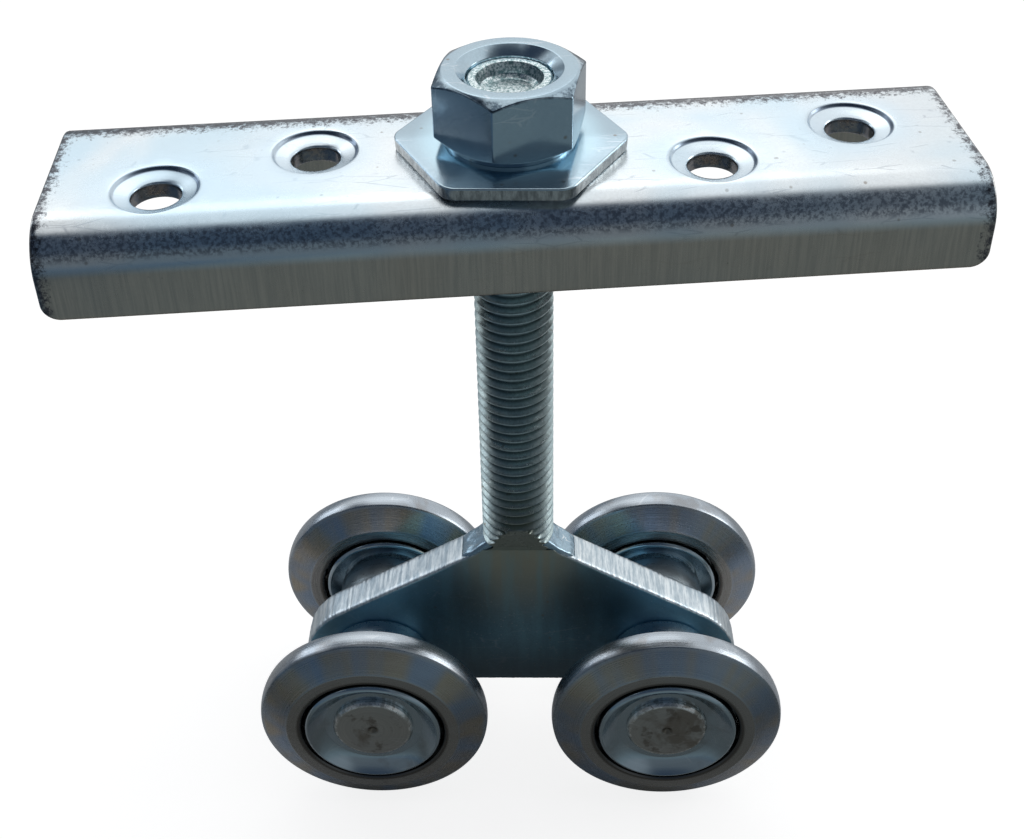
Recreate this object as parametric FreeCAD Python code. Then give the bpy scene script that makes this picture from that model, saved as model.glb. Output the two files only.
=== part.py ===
import FreeCAD, Part
import math
import os

# Hanging roller for a sliding door: a four-wheel trolley for a C-shaped rail, a threaded hanger stud
# and a folded mounting channel that is set for height by a captive nut.
# Millimetres. Origin on the stud's axis, on the ground below the wheels. +X along the mounting channel,
# +Z up the stud. The trolley stands turned a few degrees about the stud, as pictured.

V = FreeCAD.Vector
Z_AXIS = V(0, 0, 1)
CENTRE = V(0, 0, 0)

# Trolley
AXLE_SPACING = 49.2
WHEEL_TRACK = 32.2
TROLLEY_TURN = -5.1

# Wheel rim, a turned ring with a bevel on each side and a rounded tread
WHEEL_RADIUS = 19.2
TREAD_EDGE_RADIUS = 18.95
TREAD_WIDTH = 3.3
RIM_FACE_RADIUS = 14.4
RIM_WIDTH = 7.6
RIM_BORE_RADIUS = 12.1
RIM_BORE_BREAK = 0.25

# Balls and their dished races
BALL_RADIUS = 2.4
BALL_ORBIT_RADIUS = 10.6
BALL_PLAY = 0.03
BALL_SPACE = 0.15
RACE_LIP_RADIUS = 11.55
RACE_RIDGE_RADIUS = 10.8
RACE_RIDGE_HEIGHT = 4.1
RACE_LIP_ROUND = 0.9
RACE_LIP_CLEARANCE = 0.2
RACE_DISH_RADIUS = 8.3
RACE_DISH_SAG = 0.18
RACE_SEAT_HEIGHT = 2.3
TRACK_ANGLE = 72.0

# Axles and distance bushes
AXLE_RADIUS = 5.0
AXLE_FIT = 0.03
HEAD_RADIUS = 6.7
HEAD_HEIGHT = 1.0
HEAD_CHAMFER = 0.45
DIMPLE_RADIUS = 0.9
DIMPLE_DEPTH = 0.5
BUSH_RADIUS = 8.6
BUSH_EDGE = 0.3
BUSH_SPIGOT_RADIUS = 7.9
BUSH_SPIGOT_LENGTH = 2.1

# Carrier plate
PLATE_THICKNESS = 6.0
PLATE_END = 38.0
PLATE_END_RADIUS = 13.1
PLATE_END_DROP = 1.55
SHOULDER_SLOPE = 31.7
PLATE_BELOW_AXLE = 7.2
PLATE_CORNER = 2.0

# Stud
THREAD_RADIUS = 5.9
THREAD_PLAY = 0.05
STUD_BELOW_NUT_TOP = 1.4
STUD_END_CHAMFER = 0.35
CUP_RADIUS = 4.1
CUP_DEPTH = 2.1
CUP_RIM = 0.5
FLAT_HEIGHT = 0.8
FLAT_RUNOUT = 6.6

# Low weld pads on the shoulders, one each side of the stud
WELD_WIDTH = 3.6
WELD_UNDER = 1.0
WELD_RISE = 1.6
WELD_TOE = 0.35
WELD_HOLLOW = 0.25
WELD_INSET = 0.1

# Mounting channel
BRACKET_LENGTH = 126.2
BRACKET_WIDTH = 33.4
BRACKET_HEIGHT = 12.9
SHEET = 3.0
BEND_RADIUS = 6.6
FLANGE_CORNER = 2.5
WEB_TOP_ABOVE_AXLE = 100.7

# Screw holes in zigzag, each pressed down and countersunk
OUTER_HOLE_X = 48.0
INNER_HOLE_X = 27.0
FRONT_ROW_Y = -5.6
BACK_ROW_Y = 2.1
SCREW_HOLE_RADIUS = 3.4
DISH_RIM_RADIUS = 6.0
DISH_STEP_WIDTH = 0.3
DISH_STEP = 0.45
DISH_DEPTH = 1.15
DISH_BULGE = 0.6
DISH_BLEND = 1.0

# Adjusting nut: hexagonal flange with a neck through the web, rolled over a washer inside the channel
FLANGE_ACROSS_FLATS = 28.5
FLANGE_THICKNESS = 2.0
FLANGE_CORNER_RADIUS = 2.6
FLANGE_EDGE = 0.25
FLANGE_UNDER_EDGE = 0.35
FLANGE_TURN = -6.3
NECK_RADIUS = 7.9
NECK_PLAY = 0.1
COLLAR_WIDTH = 1.5
COLLAR_HEIGHT = 1.5
COLLAR_EDGE = 0.6
SEAT_PLAY = 0.05
WASHER_THICKNESS = 1.2
WASHER_WIDTH = 2.0
THREAD_MOUTH = 0.6

# Lock nut
NUT_ACROSS_FLATS = 19.0
NUT_HEIGHT = 10.3
NUT_TURN = 14.1
NUT_FACE_RADIUS = 9.15
NUT_CHAMFER_ANGLE = 30.0
NUT_WASHER_FACE = 0.7
NUT_WASHER_RADIUS = 8.9
NUT_MOUTH_RADIUS = 7.35
NUT_MOUTH_DEPTH = 1.2

# Places worked out from the sizes above
AXLE_Z = WHEEL_RADIUS
AXLE_X = AXLE_SPACING / 2
PLATE_END_X = PLATE_END - PLATE_END_RADIUS
PLATE_END_Z = AXLE_Z - PLATE_END_DROP
WHEEL_Y = WHEEL_TRACK / 2
PLATE_FACE = PLATE_THICKNESS / 2
WEB_TOP = AXLE_Z + WEB_TOP_ABOVE_AXLE
WEB_UNDERSIDE = WEB_TOP - SHEET
FLANGE_BOTTOM = WEB_TOP + SEAT_PLAY
NUT_BOTTOM = FLANGE_BOTTOM + FLANGE_THICKNESS
NUT_TOP = NUT_BOTTOM + NUT_HEIGHT
STUD_TOP = NUT_TOP - STUD_BELOW_NUT_TOP
WASHER_TOP = WEB_UNDERSIDE - SEAT_PLAY
COLLAR_TOP = WASHER_TOP - WASHER_THICKNESS - SEAT_PLAY
NUT_BORE = THREAD_RADIUS + THREAD_PLAY
SLOPE = math.radians(SHOULDER_SLOPE)


def shoulder_height(x):
    """Height of the plate's sloping shoulder at a distance x from the stud's axis."""
    return PLATE_END_Z + PLATE_END_RADIUS / math.cos(SLOPE) + (PLATE_END_X - x) * math.tan(SLOPE)


STUD_FOOT = shoulder_height(THREAD_RADIUS)


def wire(start, *steps):
    """Closed wire from a start point. A step is the next point, or the middle and end points of an arc."""
    edges = []
    here = start
    for step in steps + (start,):
        if isinstance(step, tuple):
            middle, there = step
            edges.append(Part.Arc(here, middle, there).toShape())
        else:
            there = step
            if there.distanceToPoint(here) > 1e-7:
                edges.append(Part.makeLine(here, there))
        here = there
    return Part.Wire(edges)


def turned_about_y(outline):
    """Solid turned about the Y axis from an outline in the X-Y plane, where X is the radius."""
    return Part.Face(outline).revolve(CENTRE, V(0, 1, 0), 360)


def turned_about_z(outline):
    """Solid turned about the Z axis from an outline in the X-Z plane, where X is the radius."""
    return Part.Face(outline).revolve(CENTRE, Z_AXIS, 360)


def radius_height(radius, height):
    return V(radius, 0, height)


def hexagon(across_flats, height, corner_radius=0.0):
    """Hexagonal prism from z = 0 with a corner on +X, its upright edges rounded if asked."""
    corner = across_flats / math.sqrt(3)
    points = []
    for index in range(6):
        turn = math.radians(60 * index)
        points.append(V(corner * math.cos(turn), corner * math.sin(turn), 0))
    prism = Part.Face(Part.makePolygon(points + points[:1])).extrude(V(0, 0, height))
    if corner_radius > 0:
        upright = [edge for edge in prism.Edges if abs(edge.tangentAt(edge.FirstParameter).z) > 0.9]
        prism = prism.makeFillet(corner_radius, upright)
    return prism


def on_trolley(shape):
    """Turn a shape with the trolley about the stud's axis."""
    turned = shape.copy()
    turned.rotate(CENTRE, Z_AXIS, TROLLEY_TURN)
    return turned


def at_wheel(shape, side, end):
    """Set a shape whose +Y points away from the plate at one wheel: side -1 is front, end -1 is left."""
    placed = shape.copy()
    if side < 0:
        placed.rotate(CENTRE, Z_AXIS, 180)
    placed.translate(V(end * AXLE_X, side * WHEEL_Y, AXLE_Z))
    return on_trolley(placed)


def wheel_rim():
    """Turned rim, which is also the bearing's outer race, with its ball groove in the bore."""
    half = RIM_WIDTH / 2
    tread = TREAD_WIDTH / 2
    groove_radius = BALL_RADIUS + BALL_PLAY
    reach = math.sqrt(groove_radius ** 2 - (RIM_BORE_RADIUS - BALL_ORBIT_RADIUS) ** 2)
    return turned_about_y(wire(
        V(RIM_BORE_RADIUS + RIM_BORE_BREAK, -half, 0),
        V(RIM_FACE_RADIUS, -half, 0),
        V(TREAD_EDGE_RADIUS, -tread, 0),
        (V(WHEEL_RADIUS, 0, 0), V(TREAD_EDGE_RADIUS, tread, 0)),
        V(RIM_FACE_RADIUS, half, 0),
        V(RIM_BORE_RADIUS + RIM_BORE_BREAK, half, 0),
        V(RIM_BORE_RADIUS, half - RIM_BORE_BREAK, 0),
        V(RIM_BORE_RADIUS, reach, 0),
        (V(BALL_ORBIT_RADIUS + groove_radius, 0, 0), V(RIM_BORE_RADIUS, -reach, 0)),
        V(RIM_BORE_RADIUS, -half + RIM_BORE_BREAK, 0)))


def on_track(angle):
    """Point of the inner race's ball track, by the angle from the ball's lowest point outwards."""
    turn = math.radians(angle)
    track = BALL_RADIUS + BALL_PLAY
    return V(BALL_ORBIT_RADIUS - track * math.cos(turn), track * math.sin(turn), 0)


def race_half():
    """One dished half of the inner race: seat round the axle, dish, rounded ridge and lip beside the bore."""
    bore = AXLE_RADIUS + AXLE_FIT
    diagonal = math.sin(math.radians(45))
    ridge = V(RACE_RIDGE_RADIUS, RACE_RIDGE_HEIGHT, 0)
    lip = V(RACE_LIP_RADIUS, RACE_RIDGE_HEIGHT - RACE_LIP_ROUND, 0)
    crown = V(ridge.x + (lip.x - ridge.x) * diagonal, lip.y + RACE_LIP_ROUND * diagonal, 0)
    under_lip = V(RACE_LIP_RADIUS, BALL_RADIUS + RACE_LIP_CLEARANCE, 0)
    under_ridge = V(BALL_ORBIT_RADIUS, BALL_RADIUS + RACE_LIP_CLEARANCE, 0)
    dish = V(RACE_DISH_RADIUS, RACE_SEAT_HEIGHT, 0)
    hollow = V((dish.x + ridge.x) / 2, (dish.y + ridge.y) / 2 - RACE_DISH_SAG, 0)
    return turned_about_y(wire(
        V(bore, 0, 0),
        on_track(0),
        (on_track(TRACK_ANGLE / 2), on_track(TRACK_ANGLE)),
        under_ridge,
        under_lip,
        lip,
        (crown, ridge),
        (hollow, dish),
        V(bore, RACE_SEAT_HEIGHT, 0)))


def ball_set():
    """Full complement of balls that fits round the orbit."""
    spacing = 2 * BALL_RADIUS + BALL_SPACE
    count = int(math.pi / math.asin(spacing / (2 * BALL_ORBIT_RADIUS)))
    balls = []
    for index in range(count):
        turn = 2 * math.pi * index / count
        ball = Part.makeSphere(BALL_RADIUS)
        ball.translate(V(BALL_ORBIT_RADIUS * math.cos(turn), 0, BALL_ORBIT_RADIUS * math.sin(turn)))
        balls.append(ball)
    return Part.makeCompound(balls)


def axle():
    """Riveted axle pin through both wheels, with a chamfered, centre-dimpled head at each end."""
    seat = WHEEL_Y + RACE_SEAT_HEIGHT
    face = seat + HEAD_HEIGHT
    half = wire(
        V(0, 0, 0),
        V(AXLE_RADIUS, 0, 0),
        V(AXLE_RADIUS, seat, 0),
        V(HEAD_RADIUS, seat, 0),
        V(HEAD_RADIUS, face - HEAD_CHAMFER, 0),
        V(HEAD_RADIUS - HEAD_CHAMFER, face, 0),
        V(DIMPLE_RADIUS, face, 0),
        V(0, face - DIMPLE_DEPTH, 0))
    back = turned_about_y(half)
    front = back.copy()
    front.rotate(CENTRE, Z_AXIS, 180)
    return back.fuse(front).removeSplitter()


def distance_bush():
    """Round bush that holds a wheel's inner race off the carrier plate."""
    near = PLATE_FACE - WHEEL_Y
    far = -RACE_SEAT_HEIGHT
    return turned_about_y(wire(
        V(AXLE_RADIUS + AXLE_FIT, near, 0),
        V(BUSH_RADIUS - BUSH_EDGE, near, 0),
        V(BUSH_RADIUS, near + BUSH_EDGE, 0),
        V(BUSH_RADIUS, far - BUSH_SPIGOT_LENGTH - BUSH_EDGE, 0),
        V(BUSH_RADIUS - BUSH_EDGE, far - BUSH_SPIGOT_LENGTH, 0),
        V(BUSH_SPIGOT_RADIUS, far - BUSH_SPIGOT_LENGTH, 0),
        V(BUSH_SPIGOT_RADIUS, far, 0),
        V(AXLE_RADIUS + AXLE_FIT, far, 0)))


def carrier_plate():
    """Thick plate with sloping shoulders, a flat seat for the stud's foot and ends rounded beyond the axles."""
    base = AXLE_Z - PLATE_BELOW_AXLE
    reach = math.sqrt(PLATE_END_RADIUS ** 2 - (PLATE_END_Z - base) ** 2)
    seat = radius_height(THREAD_RADIUS, STUD_FOOT)
    tangent = radius_height(PLATE_END_X + PLATE_END_RADIUS * math.sin(SLOPE),
                            PLATE_END_Z + PLATE_END_RADIUS * math.cos(SLOPE))
    side = radius_height(PLATE_END, PLATE_END_Z)
    foot = radius_height(PLATE_END_X + reach, base)

    def mirrored(point):
        return V(-point.x, 0, point.z)

    outline = wire(mirrored(seat), seat, tangent, (side, foot),
                   mirrored(foot), (mirrored(side), mirrored(tangent)))
    plate = Part.Face(outline).extrude(V(0, PLATE_THICKNESS, 0))
    plate.translate(V(0, -PLATE_FACE, 0))
    corners = [edge for edge in plate.Edges
               if abs(edge.CenterOfMass.z - base) < 1e-6 and abs(edge.tangentAt(edge.FirstParameter).y) > 0.9]
    plate = plate.makeFillet(PLATE_CORNER, corners)
    for end in (-1, 1):
        hole = Part.makeCylinder(AXLE_RADIUS + AXLE_FIT, 2 * PLATE_THICKNESS,
                                 V(end * AXLE_X, -PLATE_THICKNESS, AXLE_Z), V(0, 1, 0))
        plate = plate.cut(hole)
    return on_trolley(plate)


def stud():
    """Hanger stud over its thread crests, cupped at the top, its foot flattened to the plate's thickness."""
    cup_floor = STUD_TOP - CUP_DEPTH
    body = turned_about_z(wire(
        radius_height(0, STUD_FOOT),
        radius_height(THREAD_RADIUS, STUD_FOOT),
        radius_height(THREAD_RADIUS, STUD_TOP - STUD_END_CHAMFER),
        radius_height(THREAD_RADIUS - STUD_END_CHAMFER, STUD_TOP),
        radius_height(CUP_RADIUS + CUP_RIM, STUD_TOP),
        radius_height(CUP_RADIUS, cup_floor),
        radius_height(0, cup_floor)))
    outside = 2 * THREAD_RADIUS
    flat_top = STUD_FOOT + FLAT_HEIGHT
    runout_top = flat_top + FLAT_RUNOUT * (outside - PLATE_FACE) / (THREAD_RADIUS - PLATE_FACE)
    for side in (-1, 1):
        waste = Part.Face(wire(
            V(-outside, side * PLATE_FACE, STUD_FOOT - FLAT_HEIGHT),
            V(-outside, side * PLATE_FACE, flat_top),
            V(-outside, side * outside, runout_top),
            V(-outside, side * outside, STUD_FOOT - FLAT_HEIGHT))).extrude(V(2 * outside, 0, 0))
        body = body.cut(waste)
    return on_trolley(body)


def stud_weld():
    """Weld pad on each side of the stud, lying on the plate's shoulders and rising towards the thread."""
    half_thickness = PLATE_FACE - WELD_INSET
    inner = THREAD_RADIUS - WELD_UNDER
    outer = THREAD_RADIUS + WELD_WIDTH
    crest = V(inner, -half_thickness, shoulder_height(inner) + WELD_RISE)
    toe = V(outer, -half_thickness, shoulder_height(outer) + WELD_TOE)
    hollow = V((inner + outer) / 2, -half_thickness, (crest.z + toe.z) / 2 - WELD_HOLLOW)
    pad = Part.Face(wire(
        V(inner, -half_thickness, shoulder_height(inner)),
        V(outer, -half_thickness, shoulder_height(outer)),
        toe,
        (hollow, crest))).extrude(V(0, 2 * half_thickness, 0))
    bar = Part.makeCylinder(THREAD_RADIUS, WEB_TOP)
    right = pad.cut(bar)
    left = right.copy()
    left.rotate(CENTRE, Z_AXIS, 180)
    return on_trolley(Part.makeCompound([left, right]))


def dished_hole(x, y):
    """Sheet pressed down round one screw hole: step, shallow cone, bore and the bulge on the underside."""
    bulge = SHEET + DISH_BULGE
    pressed = turned_about_z(wire(
        radius_height(SCREW_HOLE_RADIUS, -bulge),
        radius_height(SCREW_HOLE_RADIUS + DISH_BLEND, -bulge),
        radius_height(DISH_RIM_RADIUS, -SHEET),
        radius_height(DISH_RIM_RADIUS, 0),
        radius_height(DISH_RIM_RADIUS - DISH_STEP_WIDTH, -DISH_STEP),
        radius_height(SCREW_HOLE_RADIUS, -DISH_DEPTH)))
    pressed.translate(V(x, y, WEB_TOP))
    blank = Part.makeCylinder(DISH_RIM_RADIUS, 2 * SHEET, V(x, y, WEB_UNDERSIDE - SHEET / 2))
    return blank, pressed


def screw_holes():
    """Front row and back row, each an outer and an inner hole."""
    return [(-OUTER_HOLE_X, FRONT_ROW_Y), (INNER_HOLE_X, FRONT_ROW_Y),
            (-INNER_HOLE_X, BACK_ROW_Y), (OUTER_HOLE_X, BACK_ROW_Y)]


def bracket():
    """Mounting channel folded from one sheet, web on top, flanges down."""
    half = BRACKET_WIDTH / 2
    start = -BRACKET_LENGTH / 2
    bottom = WEB_TOP - BRACKET_HEIGHT
    shoulder = WEB_TOP - BEND_RADIUS
    inner_radius = BEND_RADIUS - SHEET
    diagonal = math.sin(math.radians(45))

    def bend(side, radius):
        centre = side * (half - BEND_RADIUS)
        return V(start, centre + side * radius * diagonal, shoulder + radius * diagonal)

    section = wire(
        V(start, -half, bottom),
        V(start, -half, shoulder),
        (bend(-1, BEND_RADIUS), V(start, -half + BEND_RADIUS, WEB_TOP)),
        V(start, half - BEND_RADIUS, WEB_TOP),
        (bend(1, BEND_RADIUS), V(start, half, shoulder)),
        V(start, half, bottom),
        V(start, half - SHEET, bottom),
        V(start, half - SHEET, shoulder),
        (bend(1, inner_radius), V(start, half - BEND_RADIUS, WEB_UNDERSIDE)),
        V(start, -half + BEND_RADIUS, WEB_UNDERSIDE),
        (bend(-1, inner_radius), V(start, -half + SHEET, shoulder)),
        V(start, -half + SHEET, bottom))
    channel = Part.Face(section).extrude(V(BRACKET_LENGTH, 0, 0))
    corners = [edge for edge in channel.Edges
               if abs(edge.CenterOfMass.z - bottom) < 1e-6 and abs(abs(edge.CenterOfMass.x) + start) < 1e-6]
    channel = channel.makeFillet(FLANGE_CORNER, corners)
    for x, y in screw_holes():
        blank, pressed = dished_hole(x, y)
        channel = channel.cut(blank).fuse(pressed)
    neck_hole = Part.makeCylinder(NECK_RADIUS + NECK_PLAY, 2 * SHEET, V(0, 0, WEB_TOP - 1.5 * SHEET))
    return channel.cut(neck_hole).removeSplitter()


def adjusting_nut():
    """Hexagonal flange that lies on the web, with a threaded neck rolled over inside the channel."""
    flange = hexagon(FLANGE_ACROSS_FLATS, FLANGE_THICKNESS, FLANGE_CORNER_RADIUS)
    upper = [edge for edge in flange.Edges if abs(edge.CenterOfMass.z - FLANGE_THICKNESS) < 1e-6]
    flange = flange.makeFillet(FLANGE_EDGE, upper)
    lower = [edge for edge in flange.Edges if abs(edge.CenterOfMass.z) < 1e-6]
    flange = flange.makeFillet(FLANGE_UNDER_EDGE, lower)
    flange.rotate(CENTRE, Z_AXIS, FLANGE_TURN)
    flange.translate(V(0, 0, FLANGE_BOTTOM))
    collar = NECK_RADIUS + COLLAR_WIDTH
    collar_bottom = COLLAR_TOP - COLLAR_HEIGHT
    round_off = COLLAR_EDGE * (1 - math.sin(math.radians(45)))
    neck = turned_about_z(wire(
        radius_height(0, collar_bottom),
        radius_height(collar - COLLAR_EDGE, collar_bottom),
        (radius_height(collar - round_off, collar_bottom + round_off),
         radius_height(collar, collar_bottom + COLLAR_EDGE)),
        radius_height(collar, COLLAR_TOP),
        radius_height(NECK_RADIUS, COLLAR_TOP),
        radius_height(NECK_RADIUS, NUT_BOTTOM - FLANGE_EDGE),
        radius_height(0, NUT_BOTTOM - FLANGE_EDGE)))
    bore = turned_about_z(wire(
        radius_height(0, collar_bottom - 1),
        radius_height(NUT_BORE + THREAD_MOUTH + 1, collar_bottom - 1),
        radius_height(NUT_BORE, collar_bottom + THREAD_MOUTH),
        radius_height(NUT_BORE, NUT_BOTTOM + 1),
        radius_height(0, NUT_BOTTOM + 1)))
    return flange.fuse(neck).removeSplitter().cut(bore)


def retaining_washer():
    """Flat washer between the web's underside and the rolled-over collar."""
    inner = NECK_RADIUS + NECK_PLAY
    return turned_about_z(wire(
        radius_height(inner, WASHER_TOP - WASHER_THICKNESS),
        radius_height(inner + WASHER_WIDTH, WASHER_TOP - WASHER_THICKNESS),
        radius_height(inner + WASHER_WIDTH, WASHER_TOP),
        radius_height(inner, WASHER_TOP)))


def lock_nut():
    """Hexagon nut with a washer face below, a chamfer above and a deep countersink at each end of its thread."""
    prism = hexagon(NUT_ACROSS_FLATS, NUT_HEIGHT)
    widest = NUT_ACROSS_FLATS
    drop = (widest - NUT_FACE_RADIUS) * math.tan(math.radians(NUT_CHAMFER_ANGLE))
    barrel = turned_about_z(wire(
        radius_height(0, 0),
        radius_height(NUT_WASHER_RADIUS, 0),
        radius_height(NUT_WASHER_RADIUS, NUT_WASHER_FACE),
        radius_height(NUT_FACE_RADIUS, NUT_WASHER_FACE),
        radius_height(widest, NUT_WASHER_FACE + drop),
        radius_height(widest, NUT_HEIGHT - drop),
        radius_height(NUT_FACE_RADIUS, NUT_HEIGHT),
        radius_height(0, NUT_HEIGHT)))
    flare = (NUT_MOUTH_RADIUS - NUT_BORE) / NUT_MOUTH_DEPTH
    bore = turned_about_z(wire(
        radius_height(0, -1),
        radius_height(NUT_BORE + THREAD_MOUTH + 1, -1),
        radius_height(NUT_BORE, THREAD_MOUTH),
        radius_height(NUT_BORE, NUT_HEIGHT - NUT_MOUTH_DEPTH),
        radius_height(NUT_MOUTH_RADIUS + flare, NUT_HEIGHT + 1),
        radius_height(0, NUT_HEIGHT + 1)))
    nut = prism.common(barrel).cut(bore)
    nut.rotate(CENTRE, Z_AXIS, NUT_TURN)
    nut.translate(V(0, 0, NUT_BOTTOM))
    return nut


def export(name, shape):
    os.makedirs("parts", exist_ok=True)
    shape.exportStep("parts/" + name + ".step")


def main():
    export("bracket", bracket())
    export("adjusting_nut", adjusting_nut())
    export("retaining_washer", retaining_washer())
    export("lock_nut", lock_nut())
    export("stud", stud())
    export("stud_weld", stud_weld())
    export("carrier_plate", carrier_plate())
    rim = wheel_rim()
    race = race_half()
    race_inward = race.mirror(CENTRE, V(0, 1, 0))
    balls = ball_set()
    bush = distance_bush()
    pin = axle()
    for end, end_name in ((-1, "left"), (1, "right")):
        placed = pin.copy()
        placed.translate(V(end * AXLE_X, 0, AXLE_Z))
        export("axle_" + end_name, on_trolley(placed))
        for side, side_name in ((-1, "front"), (1, "back")):
            place = side_name + "_" + end_name
            export("wheel_rim_" + place, at_wheel(rim, side, end))
            export("race_outer_" + place, at_wheel(race, side, end))
            export("race_inner_" + place, at_wheel(race_inward, side, end))
            export("balls_" + place, at_wheel(balls, side, end))
            export("bush_" + place, at_wheel(bush, side, end))


main()
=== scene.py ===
import bmesh
import bpy
import math
import numpy as np
from mathutils import Matrix, Vector, geometry, noise


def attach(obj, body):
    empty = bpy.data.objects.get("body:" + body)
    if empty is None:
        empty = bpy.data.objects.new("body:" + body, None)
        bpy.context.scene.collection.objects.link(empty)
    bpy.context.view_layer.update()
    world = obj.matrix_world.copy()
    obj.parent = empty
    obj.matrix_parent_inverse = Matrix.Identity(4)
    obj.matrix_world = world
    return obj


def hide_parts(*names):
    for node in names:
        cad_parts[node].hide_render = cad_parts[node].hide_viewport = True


bl_info = {
    "name": "Hanging roller",
    "version": (1, 0, 0),
    "blender": (4, 5, 0),
    "location": "3D View > Sidebar > Roller",
    "description": "Makes the visible pieces, finishes and stage of a four-wheel hanging roller",
    "category": "Add Mesh",
}

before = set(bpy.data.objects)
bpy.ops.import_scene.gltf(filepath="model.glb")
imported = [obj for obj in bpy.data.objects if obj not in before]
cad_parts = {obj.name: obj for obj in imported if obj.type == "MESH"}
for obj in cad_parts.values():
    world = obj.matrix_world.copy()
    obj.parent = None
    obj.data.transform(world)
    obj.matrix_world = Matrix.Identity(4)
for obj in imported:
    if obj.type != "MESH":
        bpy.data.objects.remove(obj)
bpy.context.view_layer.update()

# Sizes in millimetres, the same as the solids'. Origin on the stud's axis, on the ground.
MM = 0.001
TROLLEY_TURN = math.radians(-5.1)
AXLE_X = 24.6
AXLE_Z = 19.2
WHEEL_Y = 16.1
WHEEL_RADIUS = 19.2
TREAD_EDGE_RADIUS = 18.95
TREAD_WIDTH = 3.3
RIM_FACE_RADIUS = 14.4
RIM_WIDTH = 7.6
RIM_BORE_RADIUS = 12.1
RIM_BORE_BREAK = 0.25
BALL_RADIUS = 2.4
BALL_ORBIT_RADIUS = 10.6
BALL_PLAY = 0.03
RACE_LIP_RADIUS = 11.55
RACE_RIDGE_RADIUS = 10.8
RACE_RIDGE_HEIGHT = 4.1
RACE_LIP_ROUND = 0.9
RACE_LIP_CLEARANCE = 0.2
RACE_DISH_RADIUS = 8.3
RACE_DISH_SAG = 0.18
RACE_SEAT_HEIGHT = 2.3
TRACK_ANGLE = 72.0
AXLE_RADIUS = 5.0
AXLE_FIT = 0.03
HEAD_RADIUS = 6.7
HEAD_HEIGHT = 1.0
HEAD_CHAMFER = 0.45
DIMPLE_RADIUS = 0.9
DIMPLE_DEPTH = 0.5
BUSH_RADIUS = 8.6
BUSH_EDGE = 0.3
BUSH_SPIGOT_RADIUS = 7.9
BUSH_SPIGOT_LENGTH = 2.1
PLATE_FACE = 3.0
PLATE_END = 38.0
PLATE_END_RADIUS = 13.1
PLATE_END_DROP = 1.55
SHOULDER_SLOPE = math.radians(31.7)
PLATE_BELOW_AXLE = 7.2
PLATE_CORNER = 2.0
PLATE_GAP = 0.22
THREAD_RADIUS = 5.9
STUD_END_CHAMFER = 0.35
CUP_RADIUS = 4.1
CUP_DEPTH = 2.1
CUP_RIM = 0.5
FLAT_HEIGHT = 0.8
FLAT_RUNOUT = 6.6
WELD_WIDTH = 3.6
WELD_UNDER = 1.0
WELD_RISE = 1.6
WELD_TOE = 0.35
BRACKET_LENGTH = 126.2
BRACKET_WIDTH = 33.4
BRACKET_HEIGHT = 12.9
SHEET = 3.0
BEND_RADIUS = 6.6
FLANGE_CORNER = 2.5
WEB_TOP = 119.9
HOLES = ((-48.0, -5.6), (27.0, -5.6), (-27.0, 2.1), (48.0, 2.1))
SCREW_HOLE_RADIUS = 3.4
DISH_RADII = (3.4, 3.45, 3.55, 3.7, 4.1, 5.3, 5.5, 5.62, 5.75, 5.87, 6.0, 6.15, 6.4)
DISH_DEPTHS = (1.45, 1.3, 1.18, 1.09, 0.95, 0.60, 0.53, 0.46, 0.33, 0.17, 0.07, 0.02, 0.0)
BULGE_RADII = (3.4, 3.45, 3.55, 3.7, 4.4, 5.2, 6.0, 6.4)
BULGE_DEPTHS = (0.35, 0.48, 0.57, 0.6, 0.6, 0.33, 0.05, 0.0)
HOLE_STEPS = 72
BORDER_GAP = 0.9
FLANGE_ACROSS_FLATS = 28.5
FLANGE_THICKNESS = 2.0
FLANGE_CORNER_RADIUS = 2.6
FLANGE_TURN = math.radians(-6.3)
NECK_RADIUS = 7.9
NECK_PLAY = 0.1
COLLAR_WIDTH = 1.5
COLLAR_HEIGHT = 1.5
COLLAR_EDGE = 0.6
SEAT_PLAY = 0.05
WASHER_THICKNESS = 1.2
WASHER_WIDTH = 2.0
NUT_ACROSS_FLATS = 19.0
NUT_HEIGHT = 10.3
NUT_TURN = math.radians(14.1)
NUT_FACE_RADIUS = 9.15
NUT_CHAMFER = math.tan(math.radians(30.0))
NUT_WASHER_FACE = 0.7
NUT_WASHER_RADIUS = 8.9
NUT_MOUTH_RADIUS = 7.35
NUT_MOUTH_DEPTH = 1.2
NUT_BORE = 5.95

FLANGE_BOTTOM = WEB_TOP + SEAT_PLAY
NUT_BOTTOM = FLANGE_BOTTOM + FLANGE_THICKNESS
NUT_TOP = NUT_BOTTOM + NUT_HEIGHT
STUD_TOP = NUT_TOP - 1.4
PLATE_END_X = PLATE_END - PLATE_END_RADIUS
PLATE_END_Z = AXLE_Z - PLATE_END_DROP
WASHER_TOP = WEB_TOP - SHEET - SEAT_PLAY
COLLAR_TOP = WASHER_TOP - WASHER_THICKNESS - SEAT_PLAY
ENDS = ((-1, "left"), (1, "right"))
SIDES = ((-1, "front"), (1, "back"))


def shoulder_height(x):
    """Height of the plate's sloping shoulder at a distance x from the stud's axis."""
    over_axle = PLATE_END_Z + PLATE_END_RADIUS / math.cos(SHOULDER_SLOPE)
    return over_axle + (PLATE_END_X - x) * math.tan(SHOULDER_SLOPE)


STUD_FOOT = shoulder_height(THREAD_RADIUS)


# Mesh work

def on_trolley(points):
    """Turn points with the trolley about the stud's axis."""
    cos, sin = math.cos(TROLLEY_TURN), math.sin(TROLLEY_TURN)
    points = np.asarray(points, float)
    return np.column_stack((points[:, 0] * cos - points[:, 1] * sin,
                            points[:, 0] * sin + points[:, 1] * cos,
                            points[:, 2]))


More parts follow.
